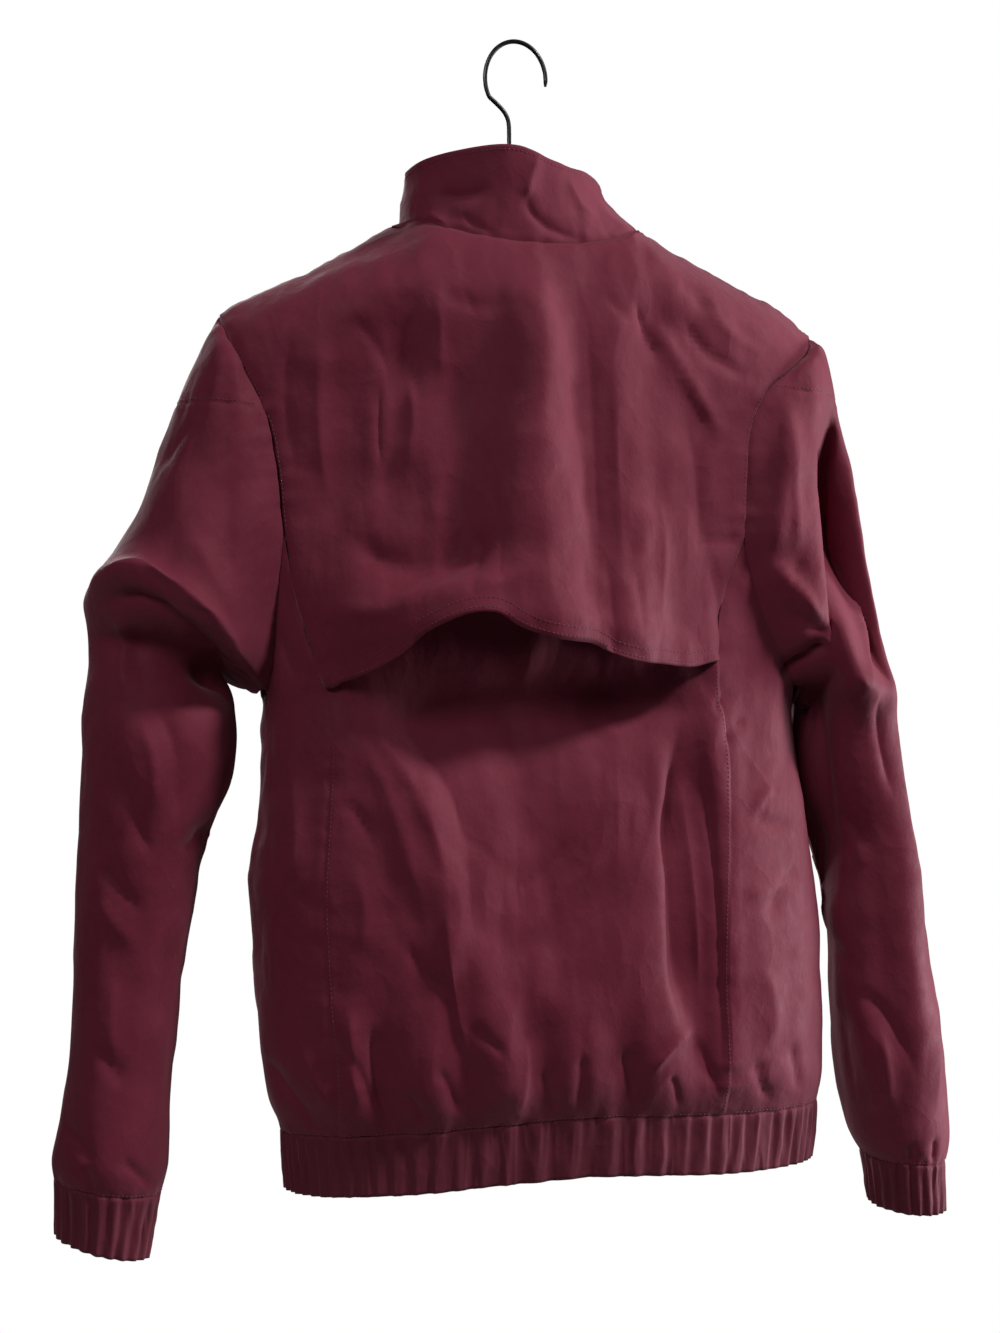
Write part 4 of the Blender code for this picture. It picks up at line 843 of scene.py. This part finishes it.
def nylon(name, colour, worn, rough):
    """Thin woven nylon: soft shine, a fine weave, small crumples and uneven dye."""
    made, tree, place = blank(name)
    tone = ranged(tree, noise_of(tree, place, 9.0, 4.0, 0.6), 0.35, 0.68, 0.0, 1.0)
    fleck = ranged(tree, noise_of(tree, place, 150.0, 3.0, 0.6), 0.42, 0.75, 0.0, 0.5)
    base = mixed(tree, fleck, mixed(tree, tone, colour, worn), worn)
    warp = waves(tree, place, WAVE_PERIOD / WEAVE_STEP, "DIAGONAL")
    weft = waves(tree, place, WAVE_PERIOD / WEAVE_STEP, "Z")
    stretched = add(tree, "ShaderNodeMapping", {"Vector": place}, {"Scale": (1.0, 1.0, 0.8)}).outputs[0]
    crinkle = noise_of(tree, stretched, 110.0, 5.0, 0.62)
    wrinkles = add(tree, "ShaderNodeTexNoise", {"Vector": stretched},
                   {"Scale": 34.0, "Detail": 3.0, "Roughness": 0.5, "Lacunarity": 2.1, "Offset": 0.9,
                    "Gain": 1.2}, noise_type="RIDGED_MULTIFRACTAL").outputs["Fac"]
    normal = bumped(tree, combined(tree, "MULTIPLY", warp, weft), 0.00005, 0.15)
    normal = bumped(tree, crinkle, 0.0009, 0.55, normal)
    normal = bumped(tree, wrinkles, 0.0008, 0.45, normal)
    gloss = ranged(tree, crinkle, 0.3, 0.7, rough - 0.06, rough + 0.06)
    return finished(made, base, normal, gloss, Sheen_Weight=0.16, Sheen_Roughness=0.5,
                    Specular_IOR_Level=0.20, Sheen_Tint=SHEEN_TINT)


def metal(name, colour, dull, rough, scale):
    """Plain metal with a worn, slightly uneven surface."""
    made, tree, place = blank(name)
    wear = ranged(tree, noise_of(tree, place, scale, 4.0, 0.6), 0.35, 0.7, 0.0, 1.0)
    gloss = ranged(tree, wear, 0.0, 1.0, rough - 0.08, rough + 0.12)
    normal = bumped(tree, noise_of(tree, place, scale * 6, 3.0), 0.00008, 0.3)
    return finished(made, mixed(tree, wear, colour, dull), normal, gloss, Metallic=1.0)


def tape_finish(name, colour, worn):
    """Tightly woven tape with ribs across it."""
    made, tree, place = blank(name)
    ribs = waves(tree, place, 260.0, "Z")
    threads = waves(tree, place, 420.0, "X")
    fuzz = ranged(tree, noise_of(tree, place, 400.0, 3.0), 0.4, 0.7, 0.0, 1.0)
    normal = bumped(tree, combined(tree, "ADD", ribs, threads), 0.00015, 0.6)
    return finished(made, mixed(tree, fuzz, colour, worn), normal, Roughness=0.82, Sheen_Weight=0.2)


def thread_finish(name, colour, worn):
    """Twisted polyester thread."""
    made, tree, place = blank(name)
    twist = waves(tree, place, 900.0, "DIAGONAL")
    normal = bumped(tree, twist, 0.00005, 0.5)
    return finished(made, mixed(tree, twist, colour, worn), normal, Roughness=0.6, Sheen_Weight=0.2)


def plain_finish(name, colour, worn):
    """Matt studio floor with a faint mottle."""
    made, tree, place = blank(name)
    return finished(made, mixed(tree, noise_of(tree, place, 3.0, 4.0), colour, worn), Roughness=0.9)


# ---------------------------------------------------------------- pieces

def mesh_object(name, mesh, finish):
    made = bpy.data.objects.new(name, mesh)
    SCENE.collection.objects.link(made)
    mesh.materials.clear()
    mesh.materials.append(finish)
    mesh.polygons.foreach_set("use_smooth", [True] * len(mesh.polygons))
    mesh.update()
    return made


ALLOWANCE, ALLOWANCE_DROP = 9 * MM, 1.5 * MM      # the collar's sewn edge runs on under the neckline


def with_allowance(skin):
    """Carries the sewn edge on inside the garment, as a seam allowance."""
    bm = bmesh.new()
    bm.from_mesh(skin.mesh)
    sewn = {int(v): k for k, v in enumerate(skin.rim) if skin.beside[k] != ""}
    edges = [edge for edge in bm.edges if edge.is_boundary and all(v.index in sewn for v in edge.verts)]
    tucked = {}
    for vert in dict.fromkeys(vert for edge in edges for vert in edge.verts):
        away = Vector(skin.out[sewn[vert.index]])
        tucked[vert] = bm.verts.new(vert.co + away * ALLOWANCE - vert.normal * ALLOWANCE_DROP)
    for edge in edges:
        a, b = edge.verts
        if edge.link_loops[0].vert is a:
            a, b = b, a
        bm.faces.new((a, b, tucked[b], tucked[a]))
    bm.to_mesh(skin.mesh)
    bm.free()


def make_cloth(skins, finishes):
    """The cloth pieces, thick where their inside shows, on the garment's body."""
    with_allowance(skins["collar"])
    for name, skin in skins.items():
        row = skin.row
        piece = mesh_object(name + "_cloth", skin.mesh, finishes[row.slot])
        if row.shell:
            shell = piece.modifiers.new("cloth", "SOLIDIFY")
            shell.thickness = row.shell * MM
            shell.offset = -1
        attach(piece, "garment")
        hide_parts(name)


STITCH_STEP = 2.9 * MM
STITCH_LENGTH = 2.1 * MM
THREAD = 0.24 * MM               # a stitch's radius
SHORTEST_RUN = 7                 # edge places in a row


def walked(line):
    """The distance along a line to each of its points."""
    return np.concatenate([[0], np.cumsum(np.linalg.norm(np.diff(line, axis=0), axis=1))])


def spot_on(line, length, at):
    return Vector([np.interp(at, length, line[:, i]) for i in range(3)])


def stitch_runs(skin, beside, inset):
    """Lines along one edge of a piece, this far inside it, and the surface that they lie on."""
    mesh = skin.mesh
    places = coordinates(mesh)
    chosen = {int(v): k for k, v in enumerate(skin.rim) if skin.beside[k] == beside}
    bm = bmesh.new()
    bm.from_mesh(mesh)
    surface = BVHTree.FromBMesh(bm)
    bm.verts.ensure_lookup_table()
    following = {v: [] for v in chosen}
    for edge in bm.edges:
        if edge.is_boundary and edge.verts[0].index in chosen and edge.verts[1].index in chosen:
            a, b = (vert.index for vert in edge.verts)
            following[a].append(b)
            following[b].append(a)
    bm.free()
    runs, seen = [], set()
    starts = [v for v in following if len(following[v]) == 1] + list(following)
    for start in starts:
        if start in seen or not following[start]:
            continue
        run, at = [start], start
        seen.add(start)
        while True:
            step = [v for v in following[at] if v not in seen]
            if not step:
                break
            at = step[0]
            seen.add(at)
            run.append(at)
        if len(run) >= SHORTEST_RUN:
            inside = places[run] - skin.out[[chosen[v] for v in run]] * inset * MM
            padded = np.pad(inside, ((2, 2), (0, 0)), mode="edge")
            evened = [np.convolve(column, np.ones(5) / 5, "valid") for column in padded.T]
            runs.append(np.stack(evened, axis=1))
    return runs, surface


def capsule(start, end, up, radius):
    """One stitch: a short thread lying on the cloth and dipping into it at both ends."""
    along = end - start
    side = np.cross(along, up)
    side /= max(np.linalg.norm(side), 1e-9)
    rings = ((0.0, -0.9, 0.35), (0.25, 0.25, 1.0), (0.75, 0.25, 1.0), (1.0, -0.9, 0.35))
    points, faces = [], []
    for share, lift, wide in rings:
        centre = start + along * share + up * radius * lift
        for k in range(5):
            turn = 2 * math.pi * k / 5
            points.append(centre + (side * math.cos(turn) + up * math.sin(turn)) * radius * wide)
    for ring in range(3):
        for k in range(5):
            a, b = ring * 5 + k, ring * 5 + (k + 1) % 5
            faces.append((a, b, b + 5, a + 5))
    return points, faces


def make_stitches(skins, finish):
    """One piece of topstitching for each cloth piece that has some."""
    groups = {}
    for row in STITCHING:
        skin = skins[row.piece]
        runs, surface = stitch_runs(skin, row.beside, row.inset)
        points, faces = groups.setdefault(row.piece, ([], []))
        for run in runs:
            length = walked(run)
            for begin in np.arange(STITCH_STEP, length[-1] - STITCH_STEP, STITCH_STEP):
                ends = []
                for at in (begin, begin + STITCH_LENGTH):
                    hit, normal, _, _ = surface.find_nearest(spot_on(run, length, at))
                    ends.append((np.array(hit), np.array(normal)))
                up = ends[0][1] + ends[1][1]
                up /= np.linalg.norm(up)
                new, quads = capsule(ends[0][0] + up * THREAD * 0.4, ends[1][0] + up * THREAD * 0.4,
                                     up, THREAD)
                base = len(points)
                points.extend(new)
                faces.extend(tuple(base + k for k in quad) for quad in quads)
    made = []
    for name, (points, faces) in groups.items():
        if not faces:
            continue
        mesh = bpy.data.meshes.new(name + "_stitches")
        mesh.from_pydata([tuple(p) for p in points], [], faces)
        made.append(mesh_object(name + "_stitches", mesh, finish))
    return made


TOOTH_STEP = 1.5 * MM
TOOTH = (2.0 * MM, 1.9 * MM, 0.85 * MM)      # reach from the middle, thickness, height
# a tooth's outline: how far along its reach, and half its height there, from root to tip
TOOTH_PROFILE = ((-0.35, 0.42), (0.3, 0.5), (0.75, 0.36), (1.0, 0.36), (1.15, 0.0))


def chain_line():
    """The middle of the zip's chain, from its solid: top to bottom."""
    places = coordinates(NODES["zip_chain"].data)
    order = np.argsort(-places[:, 2])
    places = places[order]
    groups = np.split(places, np.nonzero(np.diff(-places[:, 2]) > 0.002)[0] + 1)
    return np.array([(g.min(axis=0) + g.max(axis=0)) / 2 for g in groups])


def make_teeth(finish):
    """The zip's interlocked teeth, along its chain."""
    line = chain_line()
    length = walked(line)
    bm = bmesh.new()
    for count, at in enumerate(np.arange(TOOTH_STEP, length[-1], TOOTH_STEP)):
        place = spot_on(line, length, at)
        down = (spot_on(line, length, at + TOOTH_STEP) - place).normalized()
        across = down.cross(Vector((0, -1, 0))).normalized()
        outward = across.cross(down)
        side = 1 if count % 2 else -1
        reach, thick, tall = TOOTH
        corners = list(TOOTH_PROFILE) + [(a, -h) for a, h in TOOTH_PROFILE[-2::-1]]
        low, high = [], []
        for share, half in corners:
            base = place + across * side * (reach * (share - 0.45)) + down * half * tall * 1.6
            low.append(bm.verts.new(base - outward * thick / 2))
            high.append(bm.verts.new(base + outward * thick / 2))
        bm.faces.new(high)
        bm.faces.new(low[::-1])
        for k in range(len(low)):
            nxt = (k + 1) % len(low)
            bm.faces.new((low[k], low[nxt], high[nxt], high[k]))
    bmesh.ops.recalc_face_normals(bm, faces=bm.faces)
    mesh = bpy.data.meshes.new("zip_teeth")
    bm.to_mesh(mesh)
    bm.free()
    made = mesh_object("zip_teeth", mesh, finish)
    edge = made.modifiers.new("edge", "BEVEL")
    edge.width = 0.12 * MM
    edge.segments = 2
    return made


# hook and stem of the hanger, in millimetres
WIRE = 1.5
HOOK_HALF_WIDTH, HOOK_HALF_HEIGHT = 20.8, 25.5
HOOK_TURN = (188, -30)
BEND = [(15.2, -39.0), (11.5, -42.2), (8.2, -45.5), (5.8, -49.2), (4.6, -53.5)]
STEM_X, STEM_END_Z = 4.3, -107.6


def make_wire(finish):
    """The hook as one smooth round wire with a rounded tip."""
    centre_z = WIRE - HOOK_HALF_HEIGHT
    route = [(HOOK_HALF_WIDTH * math.cos(a), centre_z + HOOK_HALF_HEIGHT * math.sin(a))
             for a in np.radians(np.linspace(*HOOK_TURN, 40))]
    route += BEND + [(STEM_X, z) for z in np.linspace(-58, STEM_END_Z, 8)]
    data = bpy.data.curves.new("hook_wire", "CURVE")
    data.dimensions = "3D"
    data.bevel_depth = WIRE * MM
    data.bevel_resolution = 6
    data.use_fill_caps = True
    line = data.splines.new("NURBS")
    line.points.add(len(route) - 1)
    line.use_endpoint_u = True
    line.order_u = 3
    line.resolution_u = 3
    for k, (point, (x, z)) in enumerate(zip(line.points, route)):
        point.co = (x * MM, 0, z * MM, 1)
        point.radius = min(1, 0.55 + 0.45 * k)
    data.materials.append(finish)
    made = bpy.data.objects.new("hook_wire", data)
    SCENE.collection.objects.link(made)
    return made


def refinish(node, finish):
    """A carried-over solid keeps its place and gets a better finish."""
    for slot in NODES[node].material_slots:
        slot.material = finish


# ---------------------------------------------------------------- studio

FLOOR_Z = -1.40
FLOOR_RADIUS = 1.15
FLOOR_GREY, FLOOR_MOTTLE = (0.34, 0.34, 0.34, 1), (0.31, 0.31, 0.31, 1)
AMBIENT = 0.05
# size is a disc's width or a spot's radius; cone is a spot's angle in degrees, nought for a disc
Lamp = namedtuple("Lamp", "name x y z aim size cone watts colour")
LAMPS = [
    Lamp("key", -2.56, 1.66, 2.32, -0.62, 0.30, 25, 520, (1.0, 0.97, 0.96)),
    Lamp("window", -2.1, 0.10, -0.66, -0.45, 0.80, 0, 46, (0.96, 0.97, 1.0)),
    Lamp("left", 1.15, 1.70, 0.90, -0.45, 0.90, 0, 17, (1.0, 0.96, 0.96)),
    Lamp("front", 0.5, -1.8, 0.4, -0.40, 1.40, 0, 24, (1.0, 0.98, 0.97)),
]


def make_studio():
    """The floor, the white surroundings and the lamps."""
    bm = bmesh.new()
    bmesh.ops.create_circle(bm, cap_ends=True, segments=96, radius=FLOOR_RADIUS)
    mesh = bpy.data.meshes.new("floor")
    bm.to_mesh(mesh)
    bm.free()
    floor = mesh_object("floor", mesh, plain_finish("floor", FLOOR_GREY, FLOOR_MOTTLE))
    floor.location.z = FLOOR_Z
    world = bpy.data.worlds.new("studio")
    world.use_nodes = True
    tree = world.node_tree
    tree.nodes.clear()
    seen = add(tree, "ShaderNodeLightPath").outputs["Is Camera Ray"]
    ambient = add(tree, "ShaderNodeBackground", None, {"Color": (1, 0.98, 0.98, 1), "Strength": AMBIENT})
    white = add(tree, "ShaderNodeBackground", None, {"Color": (1, 1, 1, 1), "Strength": 1.0})
    both = add(tree, "ShaderNodeMixShader", {0: seen, 1: ambient.outputs[0], 2: white.outputs[0]})
    add(tree, "ShaderNodeOutputWorld", {"Surface": both.outputs[0]})
    SCENE.world = world
    for lamp in LAMPS:
        data = bpy.data.lights.new(lamp.name, "SPOT" if lamp.cone else "AREA")
        if lamp.cone:
            data.spot_size = math.radians(lamp.cone)
            data.spot_blend = 1.0
            data.shadow_soft_size = lamp.size
        else:
            data.shape = "DISK"
            data.size = lamp.size
        data.energy = lamp.watts
        data.color = lamp.colour
        made = bpy.data.objects.new(lamp.name, data)
        made.location = (lamp.x, lamp.y, lamp.z)
        aim = Vector((0, 0, lamp.aim))
        made.rotation_euler = (aim - made.location).to_track_quat("-Z", "Y").to_euler()
        SCENE.collection.objects.link(made)
    SCENE.view_settings.view_transform = "Standard"


# ---------------------------------------------------------------- main

BURGUNDY = linear(104, 28, 48)
BURGUNDY_WORN = linear(114, 38, 58)
BAND_DARK = linear(92, 28, 44)
BAND_WORN = linear(102, 36, 52)


def main():
    make_camera()
    make_studio()
    finishes = {"nylon": nylon("nylon_cloth", BURGUNDY, BURGUNDY_WORN, 0.70),
                "gathered_nylon": nylon("gathered_cloth", BAND_DARK, BAND_WORN, 0.72),
                "zip_tape": tape_finish("tape", linear(66, 22, 34), linear(84, 34, 46)),
                "zip_metal": metal("zip_steel", linear(120, 118, 118), linear(88, 84, 84), 0.34, 300),
                "steel_wire": metal("wire_steel", linear(74, 74, 78), linear(48, 47, 50), 0.36, 120)}
    thread = thread_finish("thread", linear(96, 30, 48), linear(120, 48, 66))
    skins = make_skins()
    shape_skins(skins)
    make_cloth(skins, finishes)
    for piece in make_stitches(skins, thread):
        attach(piece, "garment")
    teeth = make_teeth(finishes["zip_metal"])
    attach(teeth, "garment")
    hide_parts("zip_chain")
    wire = make_wire(finishes["steel_wire"])
    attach(wire, "garment")
    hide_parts("hanger_hook")
    for node, slot in (("zip_tape", "zip_tape"), ("zip_slider", "zip_metal"),
                       ("zip_pull_tab", "zip_metal"), ("hanger_arms", "steel_wire")):
        refinish(node, finishes[slot])


main()
